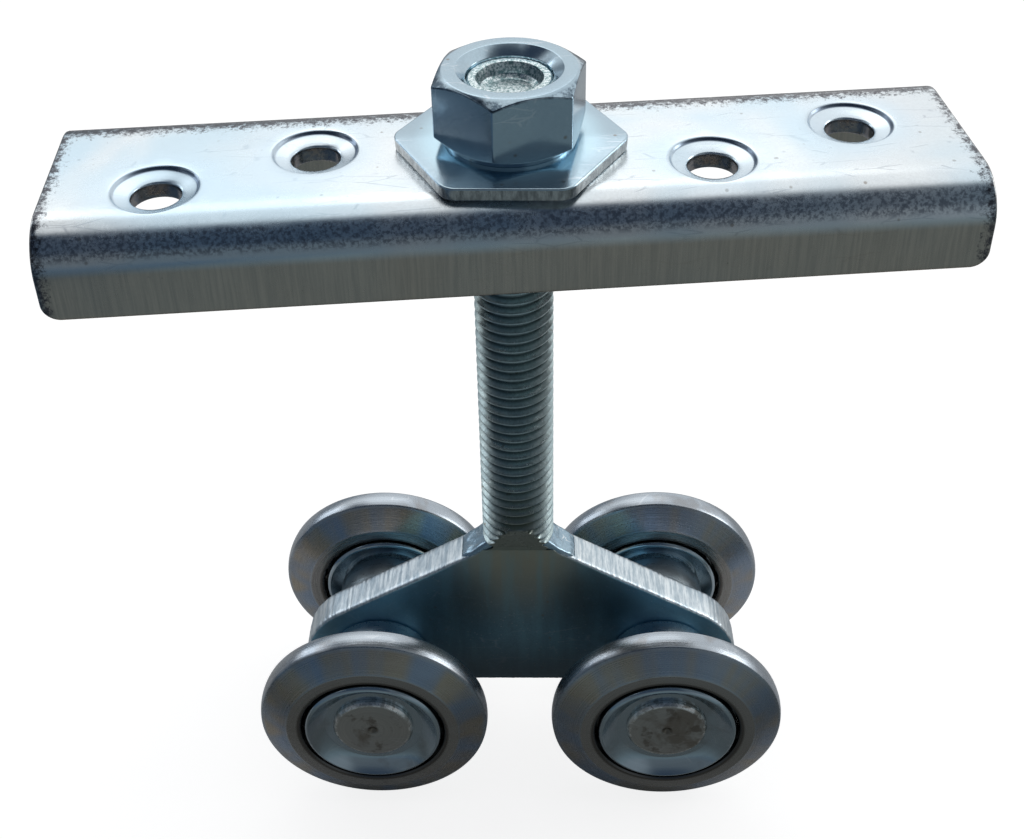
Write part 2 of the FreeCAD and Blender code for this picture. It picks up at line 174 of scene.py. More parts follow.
def at_wheel(points, side, end):
    """Set points whose +Y leads away from the plate at one wheel: side -1 is front, end -1 is left."""
    points = np.array(points, float)
    if side < 0:
        points[:, :2] *= -1
    points += (end * AXLE_X, side * WHEEL_Y, AXLE_Z)
    return on_trolley(points)


def make_piece(name, points, faces, sharp=32.0):
    """Mesh object from points in millimetres: doubles merged, faces outwards, curved ones smooth."""
    mesh = bpy.data.meshes.new(name)
    mesh.from_pydata((np.asarray(points, float) * MM).tolist(), [], faces)
    edit = bmesh.new()
    edit.from_mesh(mesh)
    bmesh.ops.remove_doubles(edit, verts=edit.verts, dist=2e-7)
    bmesh.ops.dissolve_degenerate(edit, edges=edit.edges, dist=1e-8)
    open_edges = [edge for edge in edit.edges if edge.is_boundary]
    if open_edges:
        bmesh.ops.holes_fill(edit, edges=open_edges, sides=0)
    bmesh.ops.recalc_face_normals(edit, faces=edit.faces)
    edit.to_mesh(mesh)
    edit.free()
    mesh.polygons.foreach_set("use_smooth", [True] * len(mesh.polygons))
    mesh.set_sharp_from_angle(angle=math.radians(sharp))
    piece = bpy.data.objects.new(name, mesh)
    bpy.context.scene.collection.objects.link(piece)
    return piece


def rounded(corners, steps=4):
    """Closed outline from corners (u, v) or (u, v, radius), with the corners that have a radius rounded."""
    outline = []
    count = len(corners)
    for index, corner in enumerate(corners):
        here = np.array(corner[:2], float)
        if len(corner) < 3:
            outline.append(here)
            continue
        before = np.array(corners[index - 1][:2], float) - here
        after = np.array(corners[(index + 1) % count][:2], float) - here
        length_before, length_after = np.linalg.norm(before), np.linalg.norm(after)
        before, after = before / length_before, after / length_after
        half = math.acos(max(-1.0, min(1.0, float(before @ after)))) / 2
        reach = min(corner[2] / math.tan(half), 0.48 * length_before, 0.48 * length_after)
        for step in range(steps + 1):
            share = step / steps
            outline.append(here + before * reach * (1 - share) ** 2 + after * reach * share ** 2)
    return outline


def arc(centre, radius, start, end, steps):
    """Points (u, v) on an arc, its angles in degrees from +u towards +v."""
    turns = np.radians(np.linspace(start, end, steps + 1))
    return [(centre[0] + radius * math.cos(turn), centre[1] + radius * math.sin(turn)) for turn in turns]


def circle(centre, radius, steps):
    """Points (u, v) round a circle."""
    turns = np.linspace(0, 2 * math.pi, steps, endpoint=False)
    return [(centre[0] + radius * math.cos(turn), centre[1] + radius * math.sin(turn)) for turn in turns]


def denser(loop, gap, whole):
    """Closed outline with points added on its sides about a gap apart, their count made whole."""
    dense = []
    for index, here in enumerate(loop):
        there = loop[(index + 1) % len(loop)]
        pieces = max(1, whole(math.dist(here, there) / gap))
        for piece in range(pieces):
            share = piece / pieces
            dense.append((here[0] + (there[0] - here[0]) * share, here[1] + (there[1] - here[1]) * share))
    return dense


def skin(rows, ends_joined=False):
    """Quads between closed rows of points. The last row can join the first."""
    count = len(rows[0])
    points = np.concatenate([np.asarray(row, float) for row in rows])
    faces = []
    for row in range(len(rows) if ends_joined else len(rows) - 1):
        here, there = row * count, ((row + 1) % len(rows)) * count
        for index in range(count):
            following = (index + 1) % count
            faces.append((here + index, here + following, there + following, there + index))
    return points, faces


def turned(outline, axis, steps=128, closed=True):
    """Turn an outline of (radius, distance along the axis) about the Y or Z axis."""
    rows = []
    for radius, along in outline:
        turns = np.linspace(0, 2 * math.pi, steps, endpoint=False)
        u, v, w = radius * np.cos(turns), radius * np.sin(turns), np.full(steps, along)
        rows.append(np.column_stack((u, w, v)) if axis == "Y" else np.column_stack((u, v, w)))
    return skin(rows, ends_joined=closed)


def filled(loops, loose, keep):
    """Triangles over a flat area from closed loops and loose points, where keep says which middles count."""
    flat, edges = [], []
    for loop in loops:
        first = len(flat)
        flat.extend(loop)
        edges.extend((first + index, first + (index + 1) % len(loop)) for index in range(len(loop)))
    flat.extend(loose)
    coordinates, _, triangles, origins, _, _ = geometry.delaunay_2d_cdt(
        [Vector(point) for point in flat], edges, [], 0, 1e-6)
    coordinates = np.array([point[:] for point in coordinates])
    triangles = [tri for tri in triangles if keep(*coordinates[list(tri)].mean(0))]
    place = {}
    for new, olds in enumerate(origins):
        for old in olds:
            place[old] = new
    return coordinates, triangles, place


def within(u, v, loop):
    """Whether a flat point lies inside a closed loop."""
    inside = False
    for (u1, v1), (u2, v2) in zip(loop, loop[1:] + loop[:1]):
        if (v1 > v) != (v2 > v) and u < (u2 - u1) * (v - v1) / (v2 - v1) + u1:
            inside = not inside
    return inside


def hexagon_turns(across_flats, corner_radius, corner_steps=10, flat_steps=10):
    """Angles of points round a hexagon with a corner at zero, closer together at its corners."""
    half = across_flats / 2
    spread = math.pi / 6 - math.atan((half - corner_radius) * math.tan(math.pi / 6) / half)
    turns = []
    for corner in range(6):
        middle = corner * math.pi / 3
        turns.extend(np.linspace(middle - spread, middle + spread, corner_steps, endpoint=False))
        turns.extend(np.linspace(middle + spread, middle + math.pi / 3 - spread, flat_steps, endpoint=False))
    return turns


def hexagon_radius(turn, across_flats, corner_radius):
    """Radius of a hexagon with rounded corners at an angle from one of its corners."""
    half = across_flats / 2
    from_corner = abs((turn + math.pi / 6) % (math.pi / 3) - math.pi / 6)
    spread = math.pi / 6 - math.atan((half - corner_radius) * math.tan(math.pi / 6) / half)
    if from_corner >= spread:
        return half / math.cos(math.pi / 6 - from_corner)
    centre = (half - corner_radius) / math.cos(math.pi / 6)
    aside = centre * math.sin(from_corner)
    return centre * math.cos(from_corner) + math.sqrt(corner_radius ** 2 - aside ** 2)


def dress(piece, material, slot, body, *nodes):
    """Give a piece its finish and its body, and let it stand for its nodes. The slot is not used."""
    piece.data.materials.clear()
    piece.data.materials.append(bpy.data.materials[material])
    for polygon in piece.data.polygons:
        polygon.material_index = 0
    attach(piece, body)
    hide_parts(*nodes)


# Sizes and colours that a user would change

def length(name, description, default):
    return bpy.props.FloatProperty(name=name, description=description, default=default * MM,
                                   min=0.0, precision=5, unit="LENGTH")


def colour(name, description, default):
    return bpy.props.FloatVectorProperty(name=name, description=description, default=default,
                                         subtype="COLOR", size=3, min=0.0, max=1.0)


class RollerSizes(bpy.types.PropertyGroup):
    thread_pitch: length("Thread pitch", "Rise of the stud's thread in one turn", 1.75)
    thread_depth: length("Thread depth", "Height of the stud's thread from root to crest", 0.95)
    sheet_edge: length("Sheet edge", "Rounding of the folded sheet's cut edges", 0.35)
    plate_edge: length("Plate edge", "Rounding of the carrier plate's edges", 0.4)
    shear_depth: length("Shear marks", "Depth of the marks left where the plate was punched out", 0.16)
    rim_edge: length("Rim edge", "Rounding of the wheel rims' turned edges", 0.35)
    nut_edge: length("Nut edge", "Rounding of the lock nut's upright edges", 0.45)
    weld_ripple: length("Weld ripple", "Height of the ripples on the weld pads", 0.12)
    ball_count: bpy.props.IntProperty(name="Balls", description="Balls in each wheel's bearing",
                                      default=13, min=3, max=13)


class RollerColours(bpy.types.PropertyGroup):
    sheet: colour("Mounting channel", "Bright zinc of the folded sheet", (0.81, 0.86, 0.885))
    nut: colour("Nuts", "Bright zinc of the nut and its flange", (0.43, 0.55, 0.63))
    thread: colour("Stud", "Zinc on the stud's thread", (0.50, 0.61, 0.62))
    plate: colour("Carrier plate", "Dark teal zinc of the thick plate", (0.20, 0.36, 0.45))
    weld: colour("Weld", "Plated weld beside the stud", (0.36, 0.49, 0.58))
    rim: colour("Wheel rims", "Turned steel of the wheel rims", (0.43, 0.48, 0.53))
    race: colour("Bearing races", "Pressed and plated races", (0.50, 0.60, 0.66))
    axle: colour("Axles", "Riveted axle heads", (0.58, 0.58, 0.55))
    stain: colour("Stains", "Brown oil and handling stains", (0.22, 0.17, 0.12))


# Nodes

def feed(socket, value):
    """Link a node's output to an input, or give the input a plain value."""
    value = getattr(value, "socket", value)
    if isinstance(value, bpy.types.NodeSocket):
        socket.id_data.links.new(value, socket)
    elif socket.type == "RGBA":
        socket.default_value = (*value[:3], 1.0)
    else:
        socket.default_value = value


def node(tree, kind, inputs=None, **settings):
    """Add a node, set its properties and feed its inputs."""
    made = tree.nodes.new(kind)
    for name, value in settings.items():
        setattr(made, name, value)
    for key, value in (inputs or {}).items():
        feed(made.inputs[key], value)
    return made


class Number:
    """Number that a node tree works out, with arithmetic that adds the nodes for it."""

    def __init__(self, socket):
        self.socket = socket

    def reckon(self, operation, *others):
        inputs = dict(enumerate((self, *others)))
        return Number(node(self.socket.id_data, "ShaderNodeMath", inputs, operation=operation).outputs[0])

    def __add__(self, other):
        return self.reckon("ADD", other)

    def __sub__(self, other):
        return self.reckon("SUBTRACT", other)

    def __mul__(self, other):
        return self.reckon("MULTIPLY", other)

    def __truediv__(self, other):
        return self.reckon("DIVIDE", other)

    def __abs__(self):
        return self.reckon("ABSOLUTE")

    def above(self, other):
        return self.reckon("GREATER_THAN", other)

    def highest(self, *others):
        """The largest of this and other numbers."""
        top = self
        for other in others:
            top = top.reckon("MAXIMUM", other)
        return top

    def held(self):
        """The same number, kept between 0 and 1."""
        self.socket.node.use_clamp = True
        return self

    def ramp(self, low, high, low_to=0.0, high_to=1.0):
        """Smooth step between two limits."""
        inputs = {"Value": self, "From Min": low, "From Max": high, "To Min": low_to, "To Max": high_to}
        made = node(self.socket.id_data, "ShaderNodeMapRange", inputs, interpolation_type="SMOOTHSTEP")
        return Number(made.outputs["Result"])

    def mix(self, first, second):
        """Colour between two others, by this share of the second."""
        inputs = {0: self, 6: first, 7: second}
        return node(self.socket.id_data, "ShaderNodeMix", inputs, data_type="RGBA").outputs[2]


def moved(vector, **inputs):
    """Vector after a mapping with a Location, Rotation or Scale."""
    return node(vector.id_data, "ShaderNodeMapping", {"Vector": vector, **inputs}).outputs[0]


def split(vector):
    """The three numbers of a vector."""
    return [Number(socket) for socket in node(vector.id_data, "ShaderNodeSeparateXYZ", {0: vector}).outputs]


def measured(vector, place=(0.0, 0.0, 0.0), turn=0.0):
    """The three numbers of a place in millimetres, turned about Z and moved."""
    return split(moved(vector, Location=place, Rotation=(0.0, 0.0, turn), Scale=(1 / MM, 1 / MM, 1 / MM)))


def distance(across, up):
    return (across * across + up * up).reckon("SQRT")


def noise_at(vector, scale, detail, roughness=0.5, distortion=0.0):
    inputs = {"Vector": vector, "Scale": scale, "Detail": detail, "Roughness": roughness,
              "Distortion": distortion}
    return Number(node(vector.id_data, "ShaderNodeTexNoise", inputs).outputs[0])


def new_group(name, kind, inputs, outputs, output_kind="Float"):
    """Node group with named sockets: its tree, the sockets it is given and those it makes."""
    tree = bpy.data.node_groups.new(name, kind + "NodeTree")
    for label, socket_kind, default in inputs:
        socket = tree.interface.new_socket(label, in_out="INPUT", socket_type="NodeSocket" + socket_kind)
        if default is not None:
            socket.default_value = default
    for label in outputs:
        tree.interface.new_socket(label, in_out="OUTPUT", socket_type="NodeSocket" + output_kind)
    return tree, tree.nodes.new("NodeGroupInput").outputs, tree.nodes.new("NodeGroupOutput").inputs


# Shared shader groups

def mottle_group():
    """Cloudy and grainy unevenness of zinc plating, with bright flecks and small pits."""
    tree, given, made = new_group(
        "Plating mottle", "Shader",
        (("Vector", "Vector", None), ("Cloud scale", "Float", 90.0), ("Grain scale", "Float", 2600.0)),
        ("Cloud", "Grain", "Fleck", "Pit"))
    place, grain_scale = given["Vector"], given["Grain scale"]

    def dots(scale, channel, low, high):
        """Dots in one cell out of ten."""
        cells = node(tree, "ShaderNodeTexVoronoi", {"Vector": place, "Scale": scale}).outputs
        chance = node(tree, "ShaderNodeSeparateColor", {0: cells["Color"]}).outputs[channel]
        return Number(chance).above(0.9) * Number(cells["Distance"]).ramp(low, high)

    feed(made["Cloud"], noise_at(place, given["Cloud scale"], 4.0, 0.6, 0.4).ramp(0.3, 0.7))
    feed(made["Grain"], noise_at(place, grain_scale, 3.0, 0.65))
    feed(made["Fleck"], dots(grain_scale, 0, 0.45, 0.15))
    feed(made["Pit"], dots(620.0, 1, 0.22, 0.08))


def scratch_group():
    """Short fine scratches in two directions, here and there."""
    tree, given, made = new_group(
        "Handling scratches", "Shader",
        (("Vector", "Vector", None), ("Scale", "Float", 420.0), ("Amount", "Float", 0.5)), ("Scratch",))
    shown = []
    for turn, stretch, seed in ((0.5, 0.20, 3.1), (-0.9, 0.24, 7.7)):
        lined = moved(given["Vector"], Location=(seed, seed * 0.7, 0.0), Rotation=(0.2, 0.15, turn),
                      Scale=(stretch, 1.0, 1.0))
        cells = node(tree, "ShaderNodeTexVoronoi", {"Vector": lined, "Scale": given["Scale"]},
                     feature="DISTANCE_TO_EDGE")
        line = Number(cells.outputs["Distance"]).ramp(0.035, 0.0)
        shown.append(line * noise_at(lined, 420.0, 1.0).ramp(0.58, 0.64))
    feed(made["Scratch"], shown[0].highest(shown[1]) * given["Amount"])


def turned_group():
    """Rings left by the lathe round each wheel's axis, the distance from it, and slow changes round it that
    paint reflection sectors.
    """
    tree, given, made = new_group(
        "Turned rings", "Shader",
        (("Vector", "Vector", None), ("Ring scale", "Float", 2600.0)), ("Rings", "Radius", "Reflection sector"))
    x, y, z = split(moved(given["Vector"], Rotation=(0.0, 0.0, -TROLLEY_TURN)))
    across, up = abs(x) - AXLE_X * MM, z - AXLE_Z * MM
    radius = distance(across, up)
    ringed = node(tree, "ShaderNodeCombineXYZ", {0: radius, 1: abs(y) * 0.7}).outputs[0]
    around = node(tree, "ShaderNodeCombineXYZ", {0: across / radius, 1: up / radius, 2: x * 40.0}).outputs[0]
    feed(made["Rings"], noise_at(ringed, given["Ring scale"], 4.0, 0.7))
    feed(made["Radius"], radius / MM)
    feed(made["Reflection sector"], noise_at(around, 2.3, 2.0).ramp(0.36, 0.64))


def dish_group():
    """Painted shadow: a dark line at each screw hole's pressed step, darkest on its back right side; and
    painted reflection: a bluer halo round each dish.
    """
    _, given, made = new_group("Pressed dishes", "Shader", (("Vector", "Vector", None),), ("Line", "Reflection halo"))
    shadow_lines, reflection_halos = [], []
    for hole_x, hole_y in HOLES:
        x, y, _ = measured(given["Vector"], (-hole_x, -hole_y, 0.0))
        radius = distance(x, y)
        # Painted shadow: the step line is darkest where the ring faces back and right.
        dark = ((x * 0.6 + y * 0.8) / radius).ramp(-0.5, 0.5, 0.3, 1.0)
        shadow_lines.append(radius.ramp(5.42, 5.6) * radius.ramp(6.1, 5.85) * dark)
        # Painted reflection: a bluer halo out to 11 mm round each hole.
        reflection_halos.append(radius.ramp(11.0, 6.0))
    feed(made["Line"], shadow_lines[0].highest(*shadow_lines[1:]))
    feed(made["Reflection halo"], reflection_halos[0].highest(*reflection_halos[1:]))


def grouped(vector, name, **values):
    """Numbers from a shared group, placed in a material with its own values."""
    inputs = {label.replace("_", " "): value for label, value in values.items()}
    made = node(vector.id_data, "ShaderNodeGroup", {"Vector": vector, **inputs},
                node_tree=bpy.data.node_groups[name])
    return [Number(socket) for socket in made.outputs]


# Finishes

def tinted(base, tint):
    return tuple(channel * share for channel, share in zip(base, tint))


class Finish:
    """Material under way: its nodes, the piece's own coordinates and the colour laid on so far."""

    def __init__(self, name, base):
        material = bpy.data.materials.new(name)
        material.use_nodes = True
        self.tree = material.node_tree
        self.shader = self.tree.nodes["Principled BSDF"].inputs
        self.place = self.tree.nodes.new("ShaderNodeTexCoord").outputs["Object"]
        self.tone = base

    def lay(self, share, colour):
        """Lay a colour over the one so far."""
        self.tone = share.mix(self.tone, colour)
        feed(self.shader["Base Color"], self.tone)

    def noise(self, scale, detail, roughness=0.5, distortion=0.0):
        return noise_at(self.place, scale, detail, roughness, distortion)

    def drawn(self, stretch, detail, roughness=0.5, turn=(0.0, 0.0, 0.0)):
        """Noise drawn out by a scale of its own on each axis."""
        return noise_at(moved(self.place, Rotation=turn, Scale=stretch), 1.0, detail, roughness)

    def polish(self, roughness, height, bump, depth):
        """Make it bare metal with this roughness and relief."""
        feed(self.shader["Roughness"], roughness.held())
        feed(self.shader["Metallic"], 1.0)
        relief = node(self.tree, "ShaderNodeBump", {"Strength": bump, "Distance": depth, "Height": height})
        feed(self.shader["Normal"], relief.outputs[0])


def plated(name, base, roughness, cloud=0.06, grain=0.05, scratch=0.35, stain=0.1, cloud_scale=90.0,
           bump=0.05, cool=(0.52, 0.60, 0.70), scratched=(0.90, 0.92, 0.94)):
    """Zinc-plated steel: cloudy colour, grain, flecks, pits, fine scratches and a few stains."""
    stain_colour = bpy.context.scene.roller_colours.stain
    finish = Finish(name, base)
    clouds, grains, flecks, pits = grouped(finish.place, "Plating mottle", Cloud_scale=cloud_scale)
    scratches, = grouped(finish.place, "Handling scratches", Amount=scratch)
    finish.lay(clouds * (cloud * 4), tinted(base, cool))
    finish.lay(grains.ramp(0.35, 0.7) * (grain * 4), tinted(base, (0.55, 0.55, 0.55)))
    dirty = (finish.noise(55.0, 4.0, 0.7).ramp(0.55, 0.8) * stain).held()
    finish.lay(dirty, stain_colour)
    finish.lay(scratches * 0.55, scratched)
    finish.lay(flecks * (grain * 3), (0.95, 0.97, 1.0))
    finish.lay(pits * 0.6, stain_colour)
    gloss = clouds * 0.10 + (roughness - 0.05) + grains * 0.08 + dirty * 0.25
    finish.polish(gloss, grains * 0.6 + clouds * 1.2, bump * 4, 0.00005)
    return finish


def sheet_finish(base):
    """Folded sheet: near-white ice-blue web, grained bends, warm brushed flanges darkened by painted
    reflection, painted shade under the web, dark ragged marks along the back bend and ends, and grey cut
    ends.
    """
    finish = plated("Bright zinc sheet", base, 0.22, cloud=0.05, grain=0.03, scratch=0.8, stain=0.12,
                    bump=0.03, scratched=(0.34, 0.38, 0.44))
    x, y, z = measured(finish.place)
    below = z * -1.0 + WEB_TOP
    from_end = abs(x) * -1.0 + BRACKET_LENGTH / 2
    finish.lay(finish.noise(34.0, 2.0, distortion=0.6).ramp(0.40, 0.62) * 0.7, (0.54, 0.72, 0.84))
    # Painted reflection round each dish and painted shadow along each dish's step.
    line, reflection_halo = grouped(finish.place, "Pressed dishes")
    finish.lay(reflection_halo * 0.45, (0.62, 0.78, 0.90))
    finish.lay(line * 0.85, (0.09, 0.13, 0.20))
    # Painted reflection: the flanges below the bends are laid in dark warm brown over their brushed grain,
    # much darker than the web of the same zinc.
    brushed = finish.drawn((2600.0, 2600.0, 90.0), 4.0, 0.7).ramp(0.3, 0.7)
    finish.lay(below.ramp(BEND_RADIUS - 2.2, BEND_RADIUS - 0.2) * 0.8,
               brushed.mix((0.35, 0.275, 0.20), (0.49, 0.385, 0.285)))
    # Painted shade: the web's underside and the hole walls, from 1.25 mm below the top, are laid dark brown.
    finish.lay(below.ramp(1.25, 1.5) * abs(y).ramp(9.6, 9.2) * 0.85, (0.24, 0.21, 0.19))
    crest = below.ramp(4.6, 3.6) * below.ramp(1.1, 1.7)
    finish.lay(crest * finish.noise(1700.0, 4.0, 0.75).ramp(0.42, 0.6) * 0.75, (0.16, 0.19, 0.24))
    # Dark ragged marks along the back bend and near the cut ends.
    back = y.ramp(7.0, 12.0) * below.ramp(6.0, 4.0)
    reach = back.highest(from_end.ramp(3.5, 0.0) * 0.8) * 0.30
    ragged_marks = (finish.noise(1000.0, 6.0, 0.85) + reach).ramp(0.62, 0.78)
    finish.lay(ragged_marks * 0.94, (0.06, 0.06, 0.075))
    finish.lay(from_end.reckon("LESS_THAN", 0.25) * 0.7, (0.36, 0.36, 0.35))


def nut_finishes(base):
    """Nut with a dark mottled chamfer, and its flange, bluer near the nut from a painted reflection of the
    nut, and torn at its sheared edge.
    """
    finish = plated("Bright zinc nut", base, 0.15, cloud=0.06, grain=0.04, scratch=0.45, stain=0.2,
                    bump=0.03)
    x, y, z = measured(finish.place)
    radius = distance(x, y)
    off = abs(z + radius * NUT_CHAMFER - (NUT_TOP + NUT_FACE_RADIUS * NUT_CHAMFER))
    chamfer = off.ramp(0.32, 0.08) * radius.ramp(9.3, 9.8)
    finish.lay(chamfer * finish.noise(520.0, 5.0, 0.75).ramp(0.36, 0.56) * 0.9, (0.045, 0.075, 0.11))
    finish = plated("Bright zinc flange", base, 0.17, cloud=0.05, grain=0.03, scratch=0.4, stain=0.1,
                    bump=0.03)
    x, y, z = measured(finish.place)
    # Painted reflection of the nut: the flange is laid bluer within 14 mm of the axis.
    finish.lay(distance(x, y).ramp(14.0, 10.5), (0.50, 0.68, 0.78))
    torn = finish.drawn((1500.0, 1500.0, 400.0), 5.0, 0.7).ramp(0.35, 0.65)
    finish.lay(z.ramp(NUT_BOTTOM - 0.22, NUT_BOTTOM - 0.3) * 0.85,
               torn.mix((0.20, 0.19, 0.18), (0.48, 0.47, 0.45)))


def thread_finish(base):
    """Stud: painted shade in the thread roots, speckled cup, a painted dark olive reflection down its middle,
    and dull pressed flats at the foot.
    """
    finish = plated("Zinc thread", base, 0.27, cloud=0.10, grain=0.12, scratch=0.2, stain=0.35,
                    cloud_scale=240.0, bump=0.10)
    x, y, z = measured(finish.place, turn=-TROLLEY_TURN)
    aside = abs(x)
    # Painted shade: the thread roots are laid near black, more towards the stud's sides.
    shaded_root = distance(x, y).ramp(THREAD_RADIUS - 0.35, THREAD_RADIUS - 0.85)
    finish.lay(shaded_root * aside.ramp(2.5, 4.2, 0.55, 0.95), (0.045, 0.055, 0.055))
    speckles = finish.noise(2300.0, 4.0, 0.75).ramp(0.42, 0.58)
    finish.lay(z.ramp(STUD_TOP - 2.4, STUD_TOP - 2.2), speckles.mix((0.20, 0.32, 0.34), (0.80, 0.88, 0.90)))
    rise = (z - (STUD_FOOT + FLAT_HEIGHT)).highest(0.0)
    plane = rise * ((THREAD_RADIUS - PLATE_FACE) / FLAT_RUNOUT) + PLATE_FACE
    pressed = abs(abs(y) - plane).ramp(0.10, 0.02) * rise.ramp(FLAT_RUNOUT, FLAT_RUNOUT - 0.5)
    # Painted reflection: the middle of the stud, facing front and back, is laid dark olive, fading out
    # upwards.
    finish.lay(aside.ramp(4.2, 1.6) * rise.ramp(20.0, 3.0) * 0.8, (0.26, 0.27, 0.22))
    finish.lay(pressed, (0.25, 0.265, 0.215))
    feed(finish.shader["Metallic"], pressed * -0.8 + 1.0)


def plate_finish(base):
    """Carrier plate: olive upper middle, painted highlight streaks, blue sides, painted shade on its foot,
    and pale streaks on its sheared edge.
    """
    finish = plated("Blue-grey zinc plate", base, 0.34, cloud=0.12, grain=0.08, scratch=0.22, stain=0.25,
                    cloud_scale=60.0, bump=0.06, cool=(0.60, 0.74, 0.84))
    x, y, z = measured(finish.place)
    face = abs(y).ramp(12.0, 4.0)
    finish.lay(z.ramp(24.0, 43.0) * abs(x).ramp(17.0, 3.0) * face * 0.85, (0.52, 0.49, 0.37))
    # Painted highlights: soft diagonal teal streaks.
    highlight_streaks = finish.drawn((420.0, 420.0, 50.0), 3.0, turn=(0.0, 0.25, 0.0))
    finish.lay(highlight_streaks.ramp(0.45, 0.7) * 0.30, (0.28, 0.56, 0.66))
    finish.lay(abs(x).ramp(7.0, 20.0) * face * 0.6, (0.26, 0.52, 0.70))
    # Painted shade: the plate is laid near black towards its foot, below 25 mm.
    finish.lay(z.ramp(25.0, 14.0) * face * 0.75, (0.10, 0.12, 0.13))
    straight = moved(finish.place, Rotation=(0.0, 0.0, -TROLLEY_TURN))
    cut = abs(measured(straight)[1]).ramp(PLATE_FACE - 0.02, PLATE_FACE - 0.12)
    torn = noise_at(moved(straight, Scale=(1500.0, 190.0, 900.0)), 1.0, 5.0, 0.7).ramp(0.36, 0.66)
    finish.lay(cut * 0.95, torn.mix((0.40, 0.48, 0.54), (0.78, 0.84, 0.87)))


def lathed(name, base, roughness, rings, ring_scale, bump, stain):
    """Steel turned on a lathe: fine rings and thin oil stains; it also gives back the slow changes round the
    axis that paint reflection sectors.
    """
    finish = Finish(name, base)
    ringed, radius, reflection_sector = grouped(finish.place, "Turned rings", Ring_scale=ring_scale)
    clouds, grains, _, _ = grouped(finish.place, "Plating mottle", Cloud_scale=120.0)
    scratches, = grouped(finish.place, "Handling scratches", Amount=0.4)
    finish.lay(ringed.ramp(0.35, 0.65) * rings, tinted(base, (0.5, 0.5, 0.5)))
    finish.lay(clouds * 0.25, tinted(base, (0.72, 0.78, 0.86)))
    finish.lay(clouds.ramp(0.55, 0.95) * stain, bpy.context.scene.roller_colours.stain)
    finish.lay(scratches * 0.5, (0.88, 0.90, 0.92))
    finish.polish(ringed * 0.16 + (roughness - 0.08) + grains * 0.06, ringed, bump, 0.00006)
    return finish, radius, reflection_sector


def wheel_finishes(colours):
    """Rim with brown and blue sectors of painted reflection and a painted shadow ring at its bore, race, axle
    head with a painted highlight ring, bush and balls.
    """
    finish, radius, reflection_sector = lathed("Turned steel rim", colours.rim, 0.24, 0.30, 2400.0, 0.45, 0.3)
    # Painted reflection: the bevel is laid in brown and blue sectors round the axis.
    finish.lay(radius.ramp(14.4, 14.8) * radius.ramp(18.9, 18.2) * 0.75,
               reflection_sector.mix((0.44, 0.37, 0.27), (0.27, 0.35, 0.47)))
    finish.lay(radius.ramp(14.6, 14.3) * radius.ramp(12.2, 12.4) * 0.75, (0.42, 0.39, 0.35))
    # Painted shadow: a dark ring on the rim inside 13 mm, by the gap at the race.
    finish.lay(radius.ramp(13.0, 12.5) * 0.85, (0.10, 0.09, 0.08))
    finish, radius, _ = lathed("Riveted axle", colours.axle, 0.27, 0.22, 3000.0, 0.35, 0.6)
    finish.lay(radius.ramp(1.1, 0.7), (0.20, 0.18, 0.15))
    # Painted highlight: a bright speckled ring round the axle head's edge.
    finish.lay(radius.ramp(5.9, 6.15) * finish.noise(900.0, 4.0, 0.7).ramp(0.44, 0.60), (0.93, 0.94, 0.92))
    grimy = finish.noise(330.0, 4.0, 0.6).ramp(0.54, 0.66) * radius.ramp(6.0, 5.6)
    finish.lay(grimy * 0.7, (0.20, 0.17, 0.14))
    lathed("Pressed zinc race", colours.race, 0.16, 0.12, 1500.0, 0.16, 0.25)
    lathed("Zinc bush", colours.race, 0.26, 0.22, 2600.0, 0.30, 0.2)
    lathed("Bearing steel", (0.52, 0.53, 0.54), 0.16, 0.08, 1200.0, 0.05, 0.6)


class ROLLER_OT_finishes(bpy.types.Operator):
    """Make the shared shader groups and all finishes"""
    bl_idname = "roller.finishes"
    bl_label = "Finishes"

    def execute(self, context):
        mottle_group()
        scratch_group()
        turned_group()
        dish_group()
        colours = context.scene.roller_colours
        sheet_finish(colours.sheet)
        nut_finishes(colours.nut)
        thread_finish(colours.thread)
        plate_finish(colours.plate)
        wheel_finishes(colours)
        plated("Zinc weld", colours.weld, 0.24, cloud=0.14, grain=0.10, scratch=0.9, stain=0.2,
               cloud_scale=200.0, bump=0.12)
        plated("Zinc washer", colours.nut, 0.30, cloud=0.08, grain=0.06, scratch=0.4, stain=0.3)
        return {"FINISHED"}


# Mounting channel

def folded(x, along, depth):
    """Place of a point of the flat sheet, at a depth under its outer face, once the sheet is folded."""
    flat = BRACKET_WIDTH / 2 - BEND_RADIUS
    bend = BEND_RADIUS * math.pi / 2
    shoulder = WEB_TOP - BEND_RADIUS
    away = np.abs(along)
    turn = np.clip((away - flat) / BEND_RADIUS, 0, math.pi / 2)
    y = np.minimum(away, flat) + (BEND_RADIUS - depth) * np.sin(turn)
    z = shoulder + (BEND_RADIUS - depth) * np.cos(turn) - np.maximum(away - flat - bend, 0)
    return np.column_stack((x, np.sign(along) * y, z))


def dish_depths(x, along):
    """Depths of the upper and lower face at a point, pressed down round each screw hole."""
    upper = np.zeros(len(x))
    lower = np.full(len(x), SHEET)
    for hole_x, hole_y in HOLES:
        radius = np.hypot(x - hole_x, along - hole_y)
        upper += np.interp(radius, DISH_RADII, DISH_DEPTHS)
        lower += np.interp(radius, BULGE_RADII, BULGE_DEPTHS)
    return upper, lower


def sheet_outline(inset, developed):
    """Outline of the flat sheet with its rounded corners, drawn inwards by an inset."""
    half_x, half_s = BRACKET_LENGTH / 2 - inset, developed - inset
    radius = FLANGE_CORNER - inset
    loop = []
    for quarter, (sign_x, sign_s) in enumerate(((1, 1), (-1, 1), (-1, -1), (1, -1))):
        centre = (sign_x * (half_x - radius), sign_s * (half_s - radius))
        loop.extend(arc(centre, radius, 90 * quarter, 90 * quarter + 90, 10))
    return denser(loop, BORDER_GAP, int)


